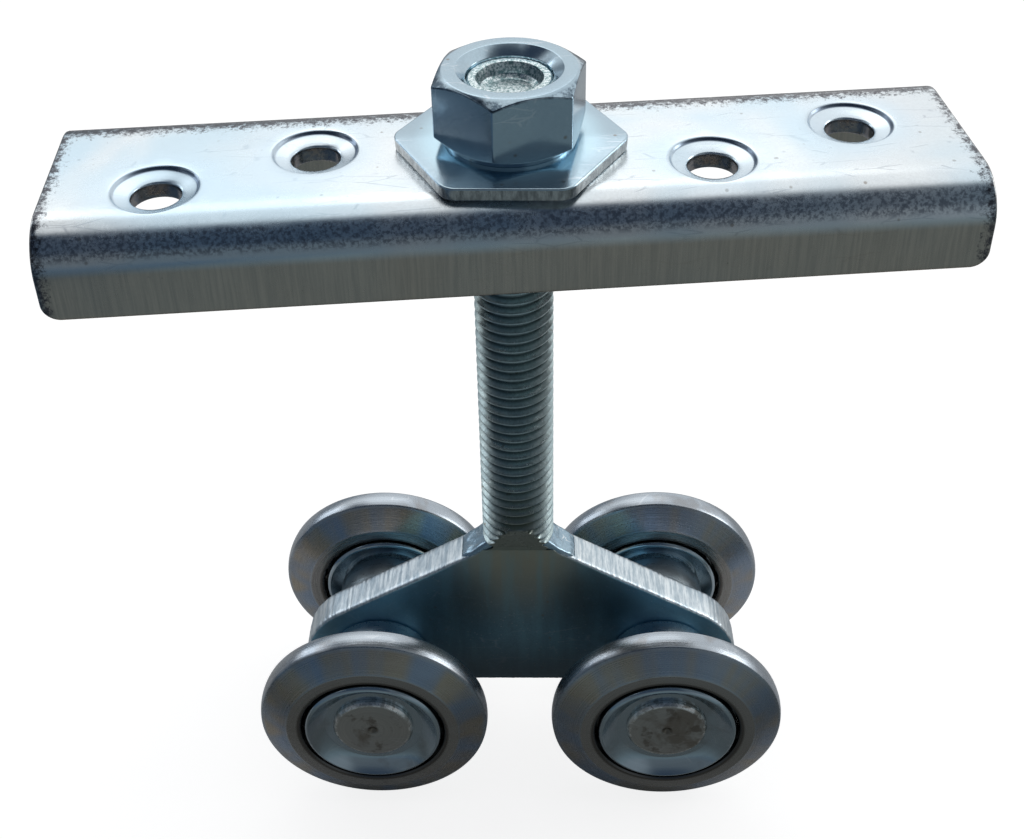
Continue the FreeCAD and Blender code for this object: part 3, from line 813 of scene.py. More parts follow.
class ROLLER_OT_mounting_channel(bpy.types.Operator):
    """Fold the mounting channel from one sheet, with its four dished screw holes"""
    bl_idname = "roller.mounting_channel"
    bl_label = "Mounting channel"

    def execute(self, context):
        edge = context.scene.roller_sizes.sheet_edge / MM
        neck = NECK_RADIUS + NECK_PLAY
        flat = BRACKET_WIDTH / 2 - BEND_RADIUS
        flange = BRACKET_HEIGHT - BEND_RADIUS
        developed = flat + BEND_RADIUS * math.pi / 2 + flange

        def clear(x, s, hole_radius=SCREW_HOLE_RADIUS, margin=0.0):
            """Whether a point of the flat sheet is clear of its holes and rounded corners."""
            over_x = max(abs(x) - BRACKET_LENGTH / 2 + FLANGE_CORNER, 0)
            over_s = max(abs(s) - developed + FLANGE_CORNER, 0)
            return (math.hypot(x, s) > neck + margin and math.hypot(over_x, over_s) < FLANGE_CORNER - margin
                    and all(math.hypot(x - hole_x, s - hole_y) > hole_radius for hole_x, hole_y in HOLES))

        rounding = np.radians((0, 30, 55, 90))
        loops = [sheet_outline(edge * (1 - math.cos(turn)), developed) for turn in rounding]
        cut_loops = [0]
        for hole in HOLES:
            cut_loops.append(len(loops))
            loops.extend(circle(hole, radius, HOLE_STEPS) for radius in sorted((*DISH_RADII, 4.7)))
        cut_loops.append(len(loops))
        loops.extend(circle((0.0, 0.0), radius, HOLE_STEPS) for radius in (neck, neck + 0.3))
        steps_s = np.concatenate((np.linspace(0, flat, 9), np.linspace(flat, developed - flange, 19)[1:],
                                  np.linspace(developed - flange, developed - 0.9, 6)[1:]))
        steps_s = np.concatenate((-steps_s[:0:-1], steps_s))
        steps_x = np.linspace(-BRACKET_LENGTH / 2 + 1.0, BRACKET_LENGTH / 2 - 1.0, 92)
        loose = [(x, s) for x in steps_x for s in steps_s if clear(x, s, 7.0, 0.8)]
        coordinates, triangles, place = filled(loops, loose, clear)
        x, s = coordinates[:, 0], coordinates[:, 1]
        upper, lower = dish_depths(x, s)
        starts = np.concatenate(([0], np.cumsum([len(loop) for loop in loops])))
        for border, turn in enumerate(rounding):
            ring = [place[index] for index in range(starts[border], starts[border + 1])]
            upper[ring] += edge * (1 - math.sin(turn))
            lower[ring] -= edge * (1 - math.sin(turn))
        points = [folded(x, s, upper), folded(x, s, lower)]
        count = len(x)
        faces = [tuple(tri) for tri in triangles]
        faces += [tuple(index + count for index in reversed(tri)) for tri in triangles]
        total = 2 * count
        for loop in cut_loops:
            ring = np.array([place[index] for index in range(starts[loop], starts[loop + 1])])
            rows = [ring]
            for share in (0.25, 0.5, 0.75):
                points.append(folded(x[ring], s[ring], upper[ring] + (lower[ring] - upper[ring]) * share))
                rows.append(np.arange(total, total + len(ring)))
                total += len(ring)
            rows.append(ring + count)
            for here, there in zip(rows, rows[1:]):
                for index in range(len(ring)):
                    following = (index + 1) % len(ring)
                    faces.append((here[index], here[following], there[following], there[index]))
        piece = make_piece("mounting_channel", np.concatenate(points), faces, sharp=40.0)
        dress(piece, "Bright zinc sheet", "zinc_sheet", "bracket", "bracket")
        return {"FINISHED"}


# Nuts and washer

def hexagon_piece(name, across_flats, corner_radius, turn, outline):
    """Loft round a hexagon, where outline gives the section for the hexagon's radius at each angle."""
    rows = []
    for angle in hexagon_turns(across_flats, corner_radius):
        section = rounded(outline(hexagon_radius(angle, across_flats, corner_radius), angle))
        cos, sin = math.cos(angle + turn), math.sin(angle + turn)
        rows.append([(radius * cos, radius * sin, height) for radius, height in section])
    return make_piece(name, *skin(rows, ends_joined=True))


class ROLLER_OT_nuts(bpy.types.Operator):
    """Make the adjusting nut with its hexagonal flange, the lock nut on it and the washer below"""
    bl_idname = "roller.nuts"
    bl_label = "Nuts and washer"

    def execute(self, context):
        nut_edge = context.scene.roller_sizes.nut_edge / MM
        collar = NECK_RADIUS + COLLAR_WIDTH
        foot = COLLAR_TOP - COLLAR_HEIGHT

        def flange(radius, angle):
            torn = 0.03 * noise.noise(Vector((math.cos(angle) * 14, math.sin(angle) * 14, 0.0))) - 0.03
            return ((NUT_BORE, foot + 0.6), (NUT_BORE + 0.6, foot), (collar, foot, COLLAR_EDGE),
                    (collar, COLLAR_TOP, 0.15), (NECK_RADIUS, COLLAR_TOP), (NECK_RADIUS, FLANGE_BOTTOM),
                    (radius - 0.1 + torn, FLANGE_BOTTOM, 0.35),
                    (radius - 0.02 + torn, FLANGE_BOTTOM + 1.1, 0.3),
                    (radius, NUT_BOTTOM, 0.28), (NUT_BORE + 0.4, NUT_BOTTOM), (NUT_BORE, NUT_BOTTOM - 0.4))

        piece = hexagon_piece("adjusting_flange_nut", FLANGE_ACROSS_FLATS, FLANGE_CORNER_RADIUS,
                              FLANGE_TURN, flange)
        dress(piece, "Bright zinc flange", "zinc_flange_nut", "nuts", "adjusting_nut")

        def hexagon_nut(radius, _):
            drop = (radius - NUT_FACE_RADIUS) * NUT_CHAMFER
            shoulder = NUT_BOTTOM + NUT_WASHER_FACE
            return ((NUT_BORE, NUT_BOTTOM + 0.6), (NUT_BORE + 0.6, NUT_BOTTOM),
                    (NUT_WASHER_RADIUS, NUT_BOTTOM, 0.12), (NUT_WASHER_RADIUS, shoulder, 0.08),
                    (NUT_FACE_RADIUS, shoulder, 0.05), (radius, shoulder + drop, 0.35),
                    (radius, NUT_TOP - drop, 0.35), (NUT_FACE_RADIUS, NUT_TOP, 0.5),
                    (NUT_MOUTH_RADIUS, NUT_TOP, 0.3), (NUT_BORE, NUT_TOP - NUT_MOUTH_DEPTH, 0.15))

        piece = hexagon_piece("lock_nut_hexagon", NUT_ACROSS_FLATS, nut_edge, NUT_TURN, hexagon_nut)
        dress(piece, "Bright zinc nut", "zinc_nut", "nuts", "lock_nut")

        inner = NECK_RADIUS + NECK_PLAY
        ring = rounded(((inner, WASHER_TOP - WASHER_THICKNESS, 0.15),
                        (inner + WASHER_WIDTH, WASHER_TOP - WASHER_THICKNESS, 0.15),
                        (inner + WASHER_WIDTH, WASHER_TOP, 0.2), (inner, WASHER_TOP, 0.2)))
        piece = make_piece("captive_washer", *turned(ring, "Z", 96))
        dress(piece, "Zinc washer", "zinc_washer", "washer", "retaining_washer")
        return {"FINISHED"}


# Stud and weld

def coat(last, material, made):
    """End a geometry node tree: real geometry with its material."""
    tree = last.id_data
    real = node(tree, "GeometryNodeRealizeInstances", {"Geometry": last.outputs[0]})
    coated = node(tree, "GeometryNodeSetMaterial", {"Geometry": real.outputs[0], "Material": material})
    feed(made[0], coated.outputs[0])


def thread_tree():
    """Geometry nodes for a threaded bar: a strip wound up the bar, its foot flattened on two sides."""
    tree, given, made = new_group("Threaded bar", "Geometry", (
        ("Steps per turn", "Int", 64), ("Pitch", "Float", 0.00175), ("Crest radius", "Float", 0.0059),
        ("Thread depth", "Float", 0.00095), ("Foot", "Float", 0.0), ("Top", "Float", 0.01),
        ("Half flat", "Float", 0.003), ("Flat top", "Float", 0.0), ("Flat widening", "Float", 0.7),
        ("Material", "Material", None)), ("Bar",), "Geometry")
    per_turn, pitch, crest, depth, foot, top, half_flat, flat_top, widening = map(Number, given[:9])
    across = 17
    turns = (top - foot) / pitch + 2.0
    steps = (turns * per_turn).reckon("FLOOR") + 1.0
    strip = node(tree, "GeometryNodeMeshGrid", {"Vertices X": steps, "Vertices Y": across})
    index = Number(node(tree, "GeometryNodeInputIndex").outputs[0])
    step = ((index + 0.5) / float(across)).reckon("FLOOR")
    share = (index - step * float(across)) / (across - 1.0)
    turn = step / per_turn
    angle = turn * (2 * math.pi)
    free = (turn + share + -1.0) * pitch + foot
    height = free.highest(foot).reckon("MINIMUM", top)
    inside = free.above(foot) * free.reckon("LESS_THAN", top)
    crest_share, root_share = 0.0625, 0.375
    section = node(tree, "ShaderNodeMapRange", {"Value": abs(share - 0.5), "From Min": root_share,
                                                "From Max": crest_share, "To Min": -1.0, "To Max": 0.0})
    cut = (Number(section.outputs["Result"]) + 1.0) * inside + -1.0
    radius = crest + cut * depth
    limit = half_flat + (height - flat_top).highest(0.0) * widening
    crest_y = crest * angle.reckon("SINE")
    pressed = abs(crest_y).above(limit)
    flat_y = limit * crest_y.reckon("SIGN")
    y = node(tree, "ShaderNodeMix", {0: pressed, 2: radius * angle.reckon("SINE"), 3: flat_y}).outputs[0]
    place = node(tree, "ShaderNodeCombineXYZ", {0: radius * angle.reckon("COSINE"), 1: y, 2: height})
    wound = node(tree, "GeometryNodeSetPosition", {"Geometry": strip.outputs["Mesh"],
                                                   "Position": place.outputs[0]})
    merged = node(tree, "GeometryNodeMergeByDistance", {"Geometry": wound.outputs[0], "Distance": 1e-6})
    coat(merged, given["Material"], made)
    return tree


def grown(tree, values):
    """Plain mesh that a geometry node tree makes from named values."""
    holder = bpy.data.objects.new("grown", bpy.data.meshes.new("grown"))
    bpy.context.scene.collection.objects.link(holder)
    modifier = holder.modifiers.new("Rule", "NODES")
    modifier.node_group = tree
    for item in tree.interface.items_tree:
        if item.item_type == "SOCKET" and item.in_out == "INPUT":
            modifier[item.identifier] = values[item.name]
    seen = bpy.context.evaluated_depsgraph_get()
    mesh = bpy.data.meshes.new_from_object(holder.evaluated_get(seen))
    holder.modifiers.clear()
    bpy.data.objects.remove(holder)
    return mesh


def mesh_lists(mesh):
    """Points in millimetres and faces of a mesh."""
    points = np.empty(len(mesh.vertices) * 3)
    mesh.vertices.foreach_get("co", points)
    return points.reshape(-1, 3) / MM, [tuple(polygon.vertices) for polygon in mesh.polygons]


def joined(*parts):
    """One list of points and faces from several."""
    points, faces, first = [], [], 0
    for part_points, part_faces in parts:
        points.append(np.asarray(part_points, float))
        faces.extend(tuple(index + first for index in face) for face in part_faces)
        first += len(part_points)
    return np.concatenate(points), faces


class ROLLER_OT_stud(bpy.types.Operator):
    """Wind the hanger stud's thread and add its cupped end"""
    bl_idname = "roller.stud"
    bl_label = "Hanger stud"

    def execute(self, context):
        sizes = context.scene.roller_sizes
        shank_top = STUD_TOP - CUP_DEPTH - 0.4
        flat_top = STUD_FOOT + FLAT_HEIGHT
        mesh = grown(thread_tree(), {
            "Steps per turn": 64, "Pitch": sizes.thread_pitch, "Crest radius": THREAD_RADIUS * MM,
            "Thread depth": sizes.thread_depth, "Foot": (STUD_FOOT - 0.3) * MM, "Top": shank_top * MM,
            "Half flat": (PLATE_FACE - 0.02) * MM, "Flat top": flat_top * MM,
            "Flat widening": (THREAD_RADIUS - PLATE_FACE) / FLAT_RUNOUT,
            "Material": bpy.data.materials["Zinc thread"]})
        bar, bar_faces = mesh_lists(mesh)
        outline = rounded(((0.0, STUD_TOP - CUP_DEPTH), (CUP_RADIUS - 0.6, STUD_TOP - CUP_DEPTH, 0.5),
                           (CUP_RADIUS, STUD_TOP - CUP_DEPTH + 0.5, 0.4),
                           (CUP_RADIUS + CUP_RIM, STUD_TOP, 0.15),
                           (THREAD_RADIUS - STUD_END_CHAMFER, STUD_TOP, 0.12),
                           (THREAD_RADIUS, STUD_TOP - STUD_END_CHAMFER), (THREAD_RADIUS, shank_top - 0.2),
                           (0.0, shank_top - 0.2)))
        end, end_faces = turned(outline, "Z", 96, closed=False)
        points, faces = joined((bar, bar_faces), (end, end_faces))
        piece = make_piece("threaded_stud", on_trolley(points), faces, sharp=50.0)
        dress(piece, "Zinc thread", "zinc_stud", "carrier", "stud")
        return {"FINISHED"}


class ROLLER_OT_weld(bpy.types.Operator):
    """Lay a low weld pad on each shoulder beside the stud"""
    bl_idname = "roller.weld"
    bl_label = "Weld pads"

    def execute(self, context):
        ripple = context.scene.roller_sizes.weld_ripple / MM
        half = PLATE_FACE - 0.1
        inner, outer = THREAD_RADIUS - 1.8 * WELD_UNDER, THREAD_RADIUS + WELD_WIDTH
        crest = shoulder_height(inner) + WELD_RISE
        toe = shoulder_height(outer) + WELD_TOE
        steps, sink, sag, edge_round = 24, 0.25, 0.35, 0.55
        parts = []
        for side in (-1, 1):
            rows = []
            for step in range(steps + 1):
                share = step / steps
                x = inner + (outer - inner) * share
                low = shoulder_height(x) - sink
                high = crest + (toe - crest) * share - sag * math.sin(math.pi * share)
                pull = 0.5 * max(0.0, share - 0.75) / 0.25
                tail = 0.3 * max(0.0, share - 0.85) / 0.15
                row = [(-half + pull, low)]
                for across in range(steps + 1):
                    y = (-1 + 2 * across / steps) * (half - 0.02)
                    edge = max(0.0, abs(y) - half + edge_round) / edge_round
                    fall = edge_round * (1 - math.sqrt(max(0.0, 1 - edge ** 2)))
                    coarse = noise.noise(Vector((x * 0.9 * side, y * 0.7, 3.0)))
                    bump = coarse + 0.4 * noise.noise(Vector((x * 2.5, y * 2.2, side * 5.0)))
                    row.append((y * (1 - pull / half), max(low + 0.05, high + ripple * bump - fall - tail)))
                row.append((half - pull, low))
                rows.append([(side * x, side * y, z) for y, z in row])
            points, faces = skin(rows)
            count = len(rows[0])
            last = (len(rows) - 1) * count
            faces.append(tuple(range(count)))
            faces.append(tuple(reversed(range(last, last + count))))
            parts.append((points, faces))
        points, faces = joined(*parts)
        piece = make_piece("weld_pads", on_trolley(points), faces, sharp=60.0)
        dress(piece, "Zinc weld", "weld", "carrier", "stud_weld")
        return {"FINISHED"}


# Carrier plate, axles and wheels

def plate_outline():
    """Closely spaced outline of the carrier plate as (x, z) points, and outward normals."""
    base = AXLE_Z - PLATE_BELOW_AXLE
    reach = math.sqrt(PLATE_END_RADIUS ** 2 - (PLATE_END_Z - base) ** 2)
    start = 90 - math.degrees(SHOULDER_SLOPE)
    stop = 8 - math.degrees(math.asin((PLATE_END_Z - base) / PLATE_END_RADIUS))
    right = arc((PLATE_END_X, PLATE_END_Z), PLATE_END_RADIUS, start, stop, 40)
    corner = rounded((right[-1], (PLATE_END_X + reach, base, PLATE_CORNER), (0.0, base)), 8)[1:-1]
    half = [(THREAD_RADIUS, STUD_FOOT)] + right + [tuple(point) for point in corner]
    loop = half + [(-x, z) for x, z in reversed(half)]
    dense = np.array(denser(loop, PLATE_GAP, round))
    along = np.roll(dense, -1, axis=0) - np.roll(dense, 1, axis=0)
    along /= np.linalg.norm(along, axis=1)[:, None]
    return dense, np.column_stack((-along[:, 1], along[:, 0])) * -1


class ROLLER_OT_carrier_plate(bpy.types.Operator):
    """Punch out the carrier plate, with shear marks on its edge"""
    bl_idname = "roller.carrier_plate"
    bl_label = "Carrier plate"

    def execute(self, context):
        sizes = context.scene.roller_sizes
        edge, marks = sizes.plate_edge / MM, sizes.shear_depth / MM
        outline, outward = plate_outline()
        if np.sum(outward * (outline - outline.mean(0))) < 0:
            outward = -outward
        shares = (0.0, 0.12, 0.4, 1.0)
        levels = [-PLATE_FACE + share * edge for share in shares]
        levels += list(np.linspace(-PLATE_FACE + edge, PLATE_FACE - edge, 17)[1:-1])
        levels += [PLATE_FACE - share * edge for share in reversed(shares)]
        rows = []
        for y in levels:
            from_face = PLATE_FACE - abs(y)
            share = max(0.0, 1 - from_face / edge)
            inset = edge * (1 - math.sqrt(max(0.0, 1 - share ** 2)))
            sunk = np.empty(len(outline))
            for index, (x, z) in enumerate(outline):
                free = min(1.0, max(0.0, (abs(x) - THREAD_RADIUS) / 1.2))
                free = 1.0 if z < AXLE_Z else free
                streak = noise.noise(Vector((x * 2.6, 0.12 * y, z * 2.6)))
                tooth = abs((x * 1.15 + 0.5 * noise.noise(Vector((x * 0.6, y, 2.0)))) % 1.0 - 0.5) * 2
                tall = (0.55 + 1.0 * tooth) * (0.8 + 0.5 * noise.noise(Vector((x * 0.5, 9.0, z * 0.5))))
                bitten = max(0.0, 1 - from_face / max(tall, 0.2))
                fine = noise.noise(Vector((x * 5.0, y * 3.0, z * 5.0)))
                mark = max(0.0, 0.9 * bitten + 0.35 * streak + 0.2 * fine + 0.2)
                sunk[index] = free * (inset + marks * mark)
            flat = outline - outward * sunk[:, None]
            rows.append(np.column_stack((flat[:, 0], np.full(len(flat), y), flat[:, 1])))
        parts = [skin(rows)]
        bore = AXLE_RADIUS + AXLE_FIT
        bores = [circle((end * AXLE_X, AXLE_Z), bore, 96) for end in (-1, 1)]
        for row in (rows[0], rows[-1]):
            border = [(x, z) for x, _, z in row]

            def solid(x, z):
                """Whether a point lies inside the border and outside both axle bores."""
                clear = all(math.hypot(x - end * AXLE_X, z - AXLE_Z) > bore for end in (-1, 1))
                return clear and within(x, z, border)

            flat, triangles, _ = filled([border] + bores, [], solid)
            face = np.column_stack((flat[:, 0], np.full(len(flat), row[0][1]), flat[:, 1]))
            parts.append((face, triangles))
        for loop in bores:
            parts.append(skin([[(x, y, z) for x, z in loop] for y in (-PLATE_FACE, PLATE_FACE)]))
        points, faces = joined(*parts)
        piece = make_piece("carrier_plate_punched", on_trolley(points), faces, sharp=50.0)
        dress(piece, "Blue-grey zinc plate", "zinc_plate", "carrier", "carrier_plate")
        return {"FINISHED"}


class ROLLER_OT_axles(bpy.types.Operator):
    """Turn the two riveted axle pins and the four distance bushes"""
    bl_idname = "roller.axles"
    bl_label = "Axles and bushes"

    def execute(self, context):
        seat = WHEEL_Y + RACE_SEAT_HEIGHT
        face = seat + HEAD_HEIGHT
        half = ((AXLE_RADIUS, 0.0), (AXLE_RADIUS, seat), (HEAD_RADIUS, seat, 0.08),
                (HEAD_RADIUS, face - HEAD_CHAMFER, 0.2), (HEAD_RADIUS - HEAD_CHAMFER, face, 0.25),
                (DIMPLE_RADIUS, face, 0.25), (0.25, face - DIMPLE_DEPTH, 0.2), (0.0, face - DIMPLE_DEPTH))
        half = rounded(half)
        pin = [(radius, -along) for radius, along in reversed(half[1:])] + half
        for end, end_name in ENDS:
            points, faces = turned(pin, "Y", 96, closed=False)
            points = on_trolley(points + (end * AXLE_X, 0, AXLE_Z))
            piece = make_piece("axle_pin_" + end_name, points, faces)
            dress(piece, "Riveted axle", "zinc_axle", "carrier", "axle_" + end_name)
        near, far = PLATE_FACE - WHEEL_Y, -RACE_SEAT_HEIGHT
        step = far - BUSH_SPIGOT_LENGTH
        bore = AXLE_RADIUS + AXLE_FIT
        outline = rounded(((bore, near), (BUSH_RADIUS - BUSH_EDGE, near, 0.1),
                           (BUSH_RADIUS, near + BUSH_EDGE, 0.1), (BUSH_RADIUS, step - BUSH_EDGE, 0.1),
                           (BUSH_RADIUS - BUSH_EDGE, step, 0.1),
                           (BUSH_SPIGOT_RADIUS, step), (BUSH_SPIGOT_RADIUS, far), (bore, far)))
        for end, end_name in ENDS:
            for side, side_name in SIDES:
                points, faces = turned(outline, "Y", 96)
                place = side_name + "_" + end_name
                piece = make_piece("distance_bush_" + place, at_wheel(points, side, end), faces)
                dress(piece, "Zinc bush", "zinc_bush", "carrier", "bush_" + place)
        return {"FINISHED"}


def rim_outline(edge):
    """Section of the wheel rim with its rounded tread and its ball groove."""
    half, tread = RIM_WIDTH / 2, TREAD_WIDTH / 2
    groove = BALL_RADIUS + BALL_PLAY
    reach = math.sqrt(groove ** 2 - (RIM_BORE_RADIUS - BALL_ORBIT_RADIUS) ** 2)
    opening = math.degrees(math.atan2(reach, RIM_BORE_RADIUS - BALL_ORBIT_RADIUS))
    crown = [(WHEEL_RADIUS - (WHEEL_RADIUS - TREAD_EDGE_RADIUS) * (y / tread) ** 2, y)
             for y in np.linspace(-tread * 0.75, tread * 0.75, 7)]
    corners = [(RIM_BORE_RADIUS + RIM_BORE_BREAK, -half, 0.08), (RIM_FACE_RADIUS, -half, edge),
               (TREAD_EDGE_RADIUS, -tread, edge * 1.6)] + crown
    corners += [(TREAD_EDGE_RADIUS, tread, edge * 1.6), (RIM_FACE_RADIUS, half, edge),
                (RIM_BORE_RADIUS + RIM_BORE_BREAK, half, 0.08), (RIM_BORE_RADIUS, half - RIM_BORE_BREAK),
                (RIM_BORE_RADIUS, reach)]
    corners += arc((BALL_ORBIT_RADIUS, 0.0), groove, opening, -opening, 14)[1:]
    corners.append((RIM_BORE_RADIUS, -half + RIM_BORE_BREAK))
    return rounded(corners, 5)


def race_outline():
    """Section of one dished half of the inner race, seat inwards and lip outwards."""
    bore = AXLE_RADIUS + AXLE_FIT
    track = BALL_RADIUS + BALL_PLAY
    under = BALL_RADIUS + RACE_LIP_CLEARANCE
    groove = arc((BALL_ORBIT_RADIUS, 0.0), track, 180, 180 - TRACK_ANGLE, 10)
    wide, tall = RACE_LIP_RADIUS - RACE_RIDGE_RADIUS, RACE_LIP_ROUND
    crown = [(RACE_RIDGE_RADIUS + wide * math.cos(turn), RACE_RIDGE_HEIGHT - tall + tall * math.sin(turn))
             for turn in np.linspace(0, math.pi / 2, 9)]
    dish = []
    for share in np.linspace(0, 1, 13)[1:]:
        radius = RACE_RIDGE_RADIUS + (RACE_DISH_RADIUS - RACE_RIDGE_RADIUS) * share
        along = RACE_RIDGE_HEIGHT + (RACE_SEAT_HEIGHT - RACE_RIDGE_HEIGHT) * share
        dish.append((radius, along - 4 * RACE_DISH_SAG * share * (1 - share)))
    dish[-1] = (*dish[-1], 0.3)
    return rounded([(bore, 0.0)] + groove + [(BALL_ORBIT_RADIUS, under), (RACE_LIP_RADIUS, under)]
                   + crown + dish + [(bore, RACE_SEAT_HEIGHT)])


def ball_tree():
    """Geometry nodes for a ring of balls about the Y axis."""
    tree, given, made = new_group("Ring of balls", "Geometry", (
        ("Balls", "Int", 13), ("Ball radius", "Float", 0.0024), ("Orbit radius", "Float", 0.0106),
        ("Material", "Material", None)), ("Ring",), "Geometry")
    ring = node(tree, "GeometryNodeMeshCircle", {"Vertices": given["Balls"], "Radius": given["Orbit radius"]})
    upright = node(tree, "GeometryNodeTransform", {"Geometry": ring.outputs[0],
                                                   "Rotation": (math.pi / 2, 0.0, 0.0)})
    ball = node(tree, "GeometryNodeMeshIcoSphere", {"Radius": given["Ball radius"], "Subdivisions": 4})
    set_out = node(tree, "GeometryNodeInstanceOnPoints", {"Points": upright.outputs[0],
                                                          "Instance": ball.outputs[0]})
    coat(set_out, given["Material"], made)
    return tree


class ROLLER_OT_wheels(bpy.types.Operator):
    """Turn the four wheel rims, press their dished races and fill them with balls"""
    bl_idname = "roller.wheels"
    bl_label = "Wheels and bearings"

    def execute(self, context):
        sizes = context.scene.roller_sizes
        rim, rim_faces = turned(rim_outline(sizes.rim_edge / MM), "Y", 160)
        race, race_faces = turned(race_outline(), "Y", 128)
        mesh = grown(ball_tree(), {"Balls": sizes.ball_count, "Ball radius": BALL_RADIUS * MM,
                                   "Orbit radius": BALL_ORBIT_RADIUS * MM,
                                   "Material": bpy.data.materials["Bearing steel"]})
        balls, ball_faces = mesh_lists(mesh)
        for end, end_name in ENDS:
            for side, side_name in SIDES:
                place = side_name + "_" + end_name
                piece = make_piece("rim_" + place, at_wheel(rim, side, end), rim_faces, sharp=40.0)
                dress(piece, "Turned steel rim", "turned_rim", "wheel_" + place, "wheel_rim_" + place)
                piece = make_piece("dished_race_outer_" + place, at_wheel(race, side, end), race_faces)
                dress(piece, "Pressed zinc race", "dished_race", "carrier", "race_outer_" + place)
                piece = make_piece("dished_race_inner_" + place, at_wheel(race * (1, -1, 1), side, end),
                                   race_faces)
                dress(piece, "Pressed zinc race", "dished_race", "carrier", "race_inner_" + place)
                piece = make_piece("ball_ring_" + place, at_wheel(balls, side, end), ball_faces)
                dress(piece, "Bearing steel", "ball_steel", "ball_set_" + place, "balls_" + place)
        return {"FINISHED"}


# Stage

PHOTO_WIDTH = 1024
PHOTO_HEIGHT = 839
CAMERA_PLACE = (-11.29, -167.19, 215.43)
CAMERA_YAW, CAMERA_PITCH, CAMERA_ROLL = math.radians(3.0), math.radians(34.447), math.radians(-1.579)
CAMERA_FOCUS = 1394.74
CAMERA_CENTRE = (495.8, 264.5)
SENSOR_WIDTH = 36.0


def camera_view():
    """Camera at the photograph's place: its focal length and centre are in the photograph's pixels."""
    yaw, pitch, roll = CAMERA_YAW, CAMERA_PITCH, CAMERA_ROLL
    forward = Vector((math.sin(yaw) * math.cos(pitch), math.cos(yaw) * math.cos(pitch), -math.sin(pitch)))
    level = Vector((math.cos(yaw), -math.sin(yaw), 0.0))
    upright = level.cross(forward)
    right = level * math.cos(roll) + upright * math.sin(roll)
    up = upright * math.cos(roll) - level * math.sin(roll)
    data = bpy.data.cameras.new("Camera")
    data.sensor_fit = "HORIZONTAL"
    data.sensor_width = SENSOR_WIDTH
    data.lens = CAMERA_FOCUS * SENSOR_WIDTH / PHOTO_WIDTH
    data.shift_x = (PHOTO_WIDTH / 2 - CAMERA_CENTRE[0]) / PHOTO_WIDTH
    data.shift_y = (CAMERA_CENTRE[1] - PHOTO_HEIGHT / 2) / PHOTO_WIDTH
    data.clip_start = 0.01
    camera = bpy.data.objects.new("Camera", data)
    bpy.context.scene.collection.objects.link(camera)
    turn = Matrix((right, up, -forward)).transposed()
    camera.matrix_world = Matrix.Translation(Vector(CAMERA_PLACE) * MM) @ turn.to_4x4()
    bpy.context.scene.camera = camera


def lamp(name, place, aim_height, size, power, tint):
    """Soft lamp that looks at a point on the stud's axis."""
    data = bpy.data.lights.new(name, "AREA")
    data.shape = "RECTANGLE"
    data.size, data.size_y = size
    data.energy = power
    data.color = tint
    made = bpy.data.objects.new(name, data)
    made.location = place
    made.rotation_euler = (Vector((0.0, 0.0, aim_height)) - Vector(place)).to_track_quat("-Z", "Y").to_euler()
    bpy.context.scene.collection.objects.link(made)


def world_light():
    """White round about behind the object, a darker room before it, and white where the camera looks."""
    world = bpy.data.worlds.new("Studio")
    world.use_nodes = True
    bpy.context.scene.world = world
    tree = world.node_tree
    x, y, z = split(tree.nodes.new("ShaderNodeTexCoord").outputs["Generated"])
    front = y.ramp(-0.06, -0.28)
    right = x.ramp(0.20, 0.42)
    low_left = x.ramp(0.10, -0.35) * z.ramp(0.42, 0.20)
    far_left = x.ramp(-0.55, -0.76) * z.ramp(0.66, 0.54)
    ceiling = z.ramp(0.62, 0.76) * x.ramp(-0.24, -0.38)
    backdrop = (low_left * 0.9).mix((1.0, 1.0, 1.0), (0.16, 0.20, 0.24))
    backdrop = far_left.mix(backdrop, (0.10, 0.13, 0.17))
    wall = front.mix(backdrop, right.mix((0.135, 0.15, 0.165), (0.25, 0.27, 0.29)))
    dark = right.mix((0.042, 0.06, 0.09), (0.13, 0.15, 0.17))
    room = (front * z.ramp(0.30, 0.55)).highest(ceiling).mix(wall, dark)
    seen = Number(node(tree, "ShaderNodeLightPath").outputs["Is Camera Ray"])
    background = tree.nodes["Background"].inputs
    feed(background["Color"], seen.mix(room, (1.0, 1.0, 1.0)))
    feed(background["Strength"], 1.0)


def floor_material():
    """Paper that the camera sees as white with a soft shadow, and mirrors see as a dim table."""
    material = bpy.data.materials.new("Paper floor")
    material.use_nodes = True
    tree = material.node_tree
    tree.nodes.clear()
    x, y, _ = split(tree.nodes.new("ShaderNodeTexCoord").outputs["Object"])
    front = y.ramp(-0.012, -0.035)
    beside = x.ramp(-0.10, -0.17) * y.ramp(0.10, 0.04)
    table = y.ramp(-0.02, -0.12).mix((0.085, 0.090, 0.090), (0.180, 0.222, 0.240))
    table = beside.mix(table, (0.075, 0.118, 0.170))

    def mixed(share, first, second):
        inputs = {0: share, 1: first.outputs[0], 2: second.outputs[0]}
        return node(tree, "ShaderNodeMixShader", inputs)

    dim = node(tree, "ShaderNodeBsdfDiffuse", {"Color": (0.6, 0.6, 0.6)})
    pale = node(tree, "ShaderNodeBsdfDiffuse", {"Color": (0.9, 0.9, 0.9)})
    glow = node(tree, "ShaderNodeEmission", {"Color": (1.0, 1.0, 1.0), "Strength": 1.30})
    mirrored = mixed(front.highest(beside), dim, node(tree, "ShaderNodeEmission", {"Color": table}))
    seen = node(tree, "ShaderNodeLightPath").outputs["Is Camera Ray"]
    both = mixed(seen, mirrored, mixed(0.65, pale, glow))
    feed(tree.nodes.new("ShaderNodeOutputMaterial").inputs[0], both.outputs[0])
    return material


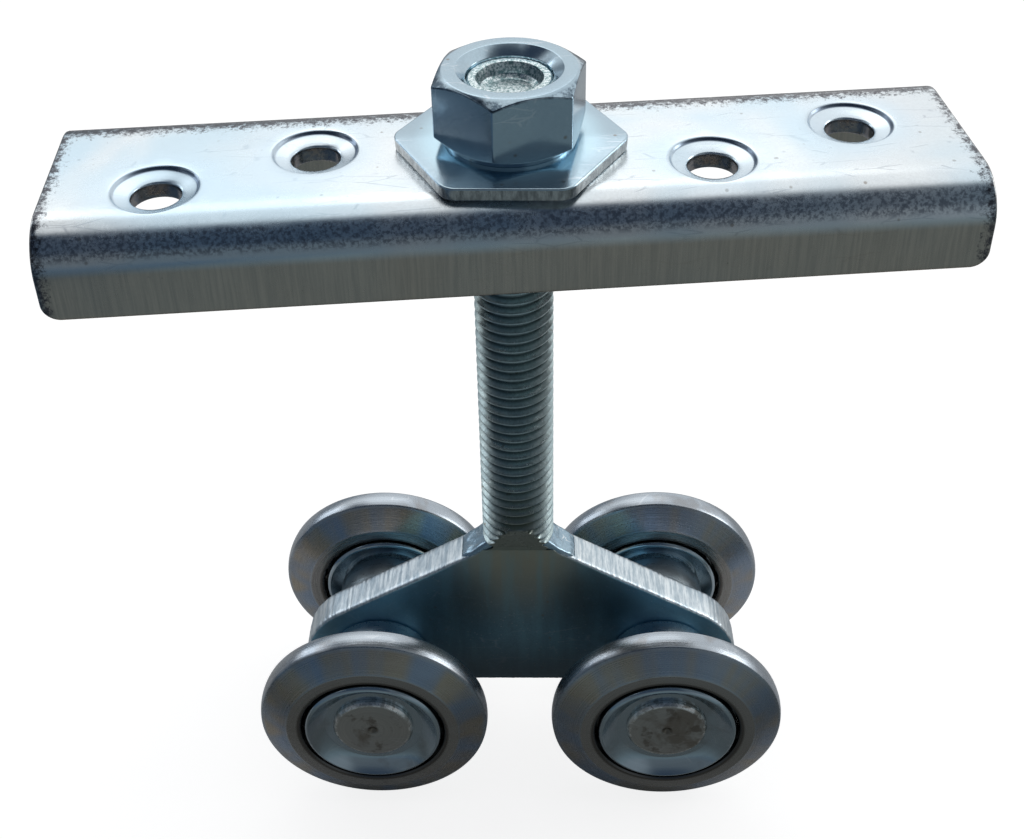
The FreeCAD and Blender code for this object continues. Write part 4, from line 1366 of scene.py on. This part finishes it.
class ROLLER_OT_stage(bpy.types.Operator):
    """Lay the pale floor, hang the soft lamps and set up the camera"""
    bl_idname = "roller.stage"
    bl_label = "Stage"

    def execute(self, context):
        half, drop = 3000.0, 0.02
        corners = ((-half, -half, -drop), (half, -half, -drop), (half, half, -drop), (-half, half, -drop))
        floor = make_piece("paper_floor", corners, [(0, 1, 2, 3)])
        floor.data.materials.append(floor_material())
        world_light()
        lamp("Key", (-0.10, 0.75, 0.95), 0.08, (1.0, 0.6), 1.2, (1.0, 0.99, 0.97))
        lamp("Left strip", (-0.85, 0.60, 0.45), 0.07, (0.3, 0.5), 1.0, (0.94, 0.97, 1.0))
        lamp("Right strip", (0.95, 0.15, 0.45), 0.06, (0.3, 0.5), 1.5, (1.0, 0.99, 0.97))
        camera_view()
        context.scene.view_settings.view_transform = "Standard"
        return {"FINISHED"}


class ROLLER_PT_pieces(bpy.types.Panel):
    """Pieces, finishes and stage of the hanging roller"""
    bl_label = "Hanging roller"
    bl_idname = "ROLLER_PT_pieces"
    bl_space_type = "VIEW_3D"
    bl_region_type = "UI"
    bl_category = "Roller"

    def draw(self, context):
        layout = self.layout
        for holder in (context.scene.roller_sizes, context.scene.roller_colours):
            box = layout.box()
            for name in holder.__annotations__:
                box.prop(holder, name)
        for operator in OPERATORS:
            layout.operator(operator.bl_idname)


OPERATORS = (ROLLER_OT_finishes, ROLLER_OT_stage, ROLLER_OT_mounting_channel, ROLLER_OT_nuts, ROLLER_OT_stud,
             ROLLER_OT_weld, ROLLER_OT_carrier_plate, ROLLER_OT_axles, ROLLER_OT_wheels)
CLASSES = (RollerSizes, RollerColours, *OPERATORS, ROLLER_PT_pieces)


def register():
    for made in CLASSES:
        bpy.utils.register_class(made)
    bpy.types.Scene.roller_sizes = bpy.props.PointerProperty(type=RollerSizes)
    bpy.types.Scene.roller_colours = bpy.props.PointerProperty(type=RollerColours)


def unregister():
    del bpy.types.Scene.roller_colours
    del bpy.types.Scene.roller_sizes
    for made in reversed(CLASSES):
        bpy.utils.unregister_class(made)


def main():
    register()
    bpy.ops.roller.finishes()
    bpy.ops.roller.stage()
    bpy.ops.roller.mounting_channel()
    bpy.ops.roller.nuts()
    bpy.ops.roller.stud()
    bpy.ops.roller.weld()
    bpy.ops.roller.carrier_plate()
    bpy.ops.roller.axles()
    bpy.ops.roller.wheels()


if __name__ == "__main__":
    main()
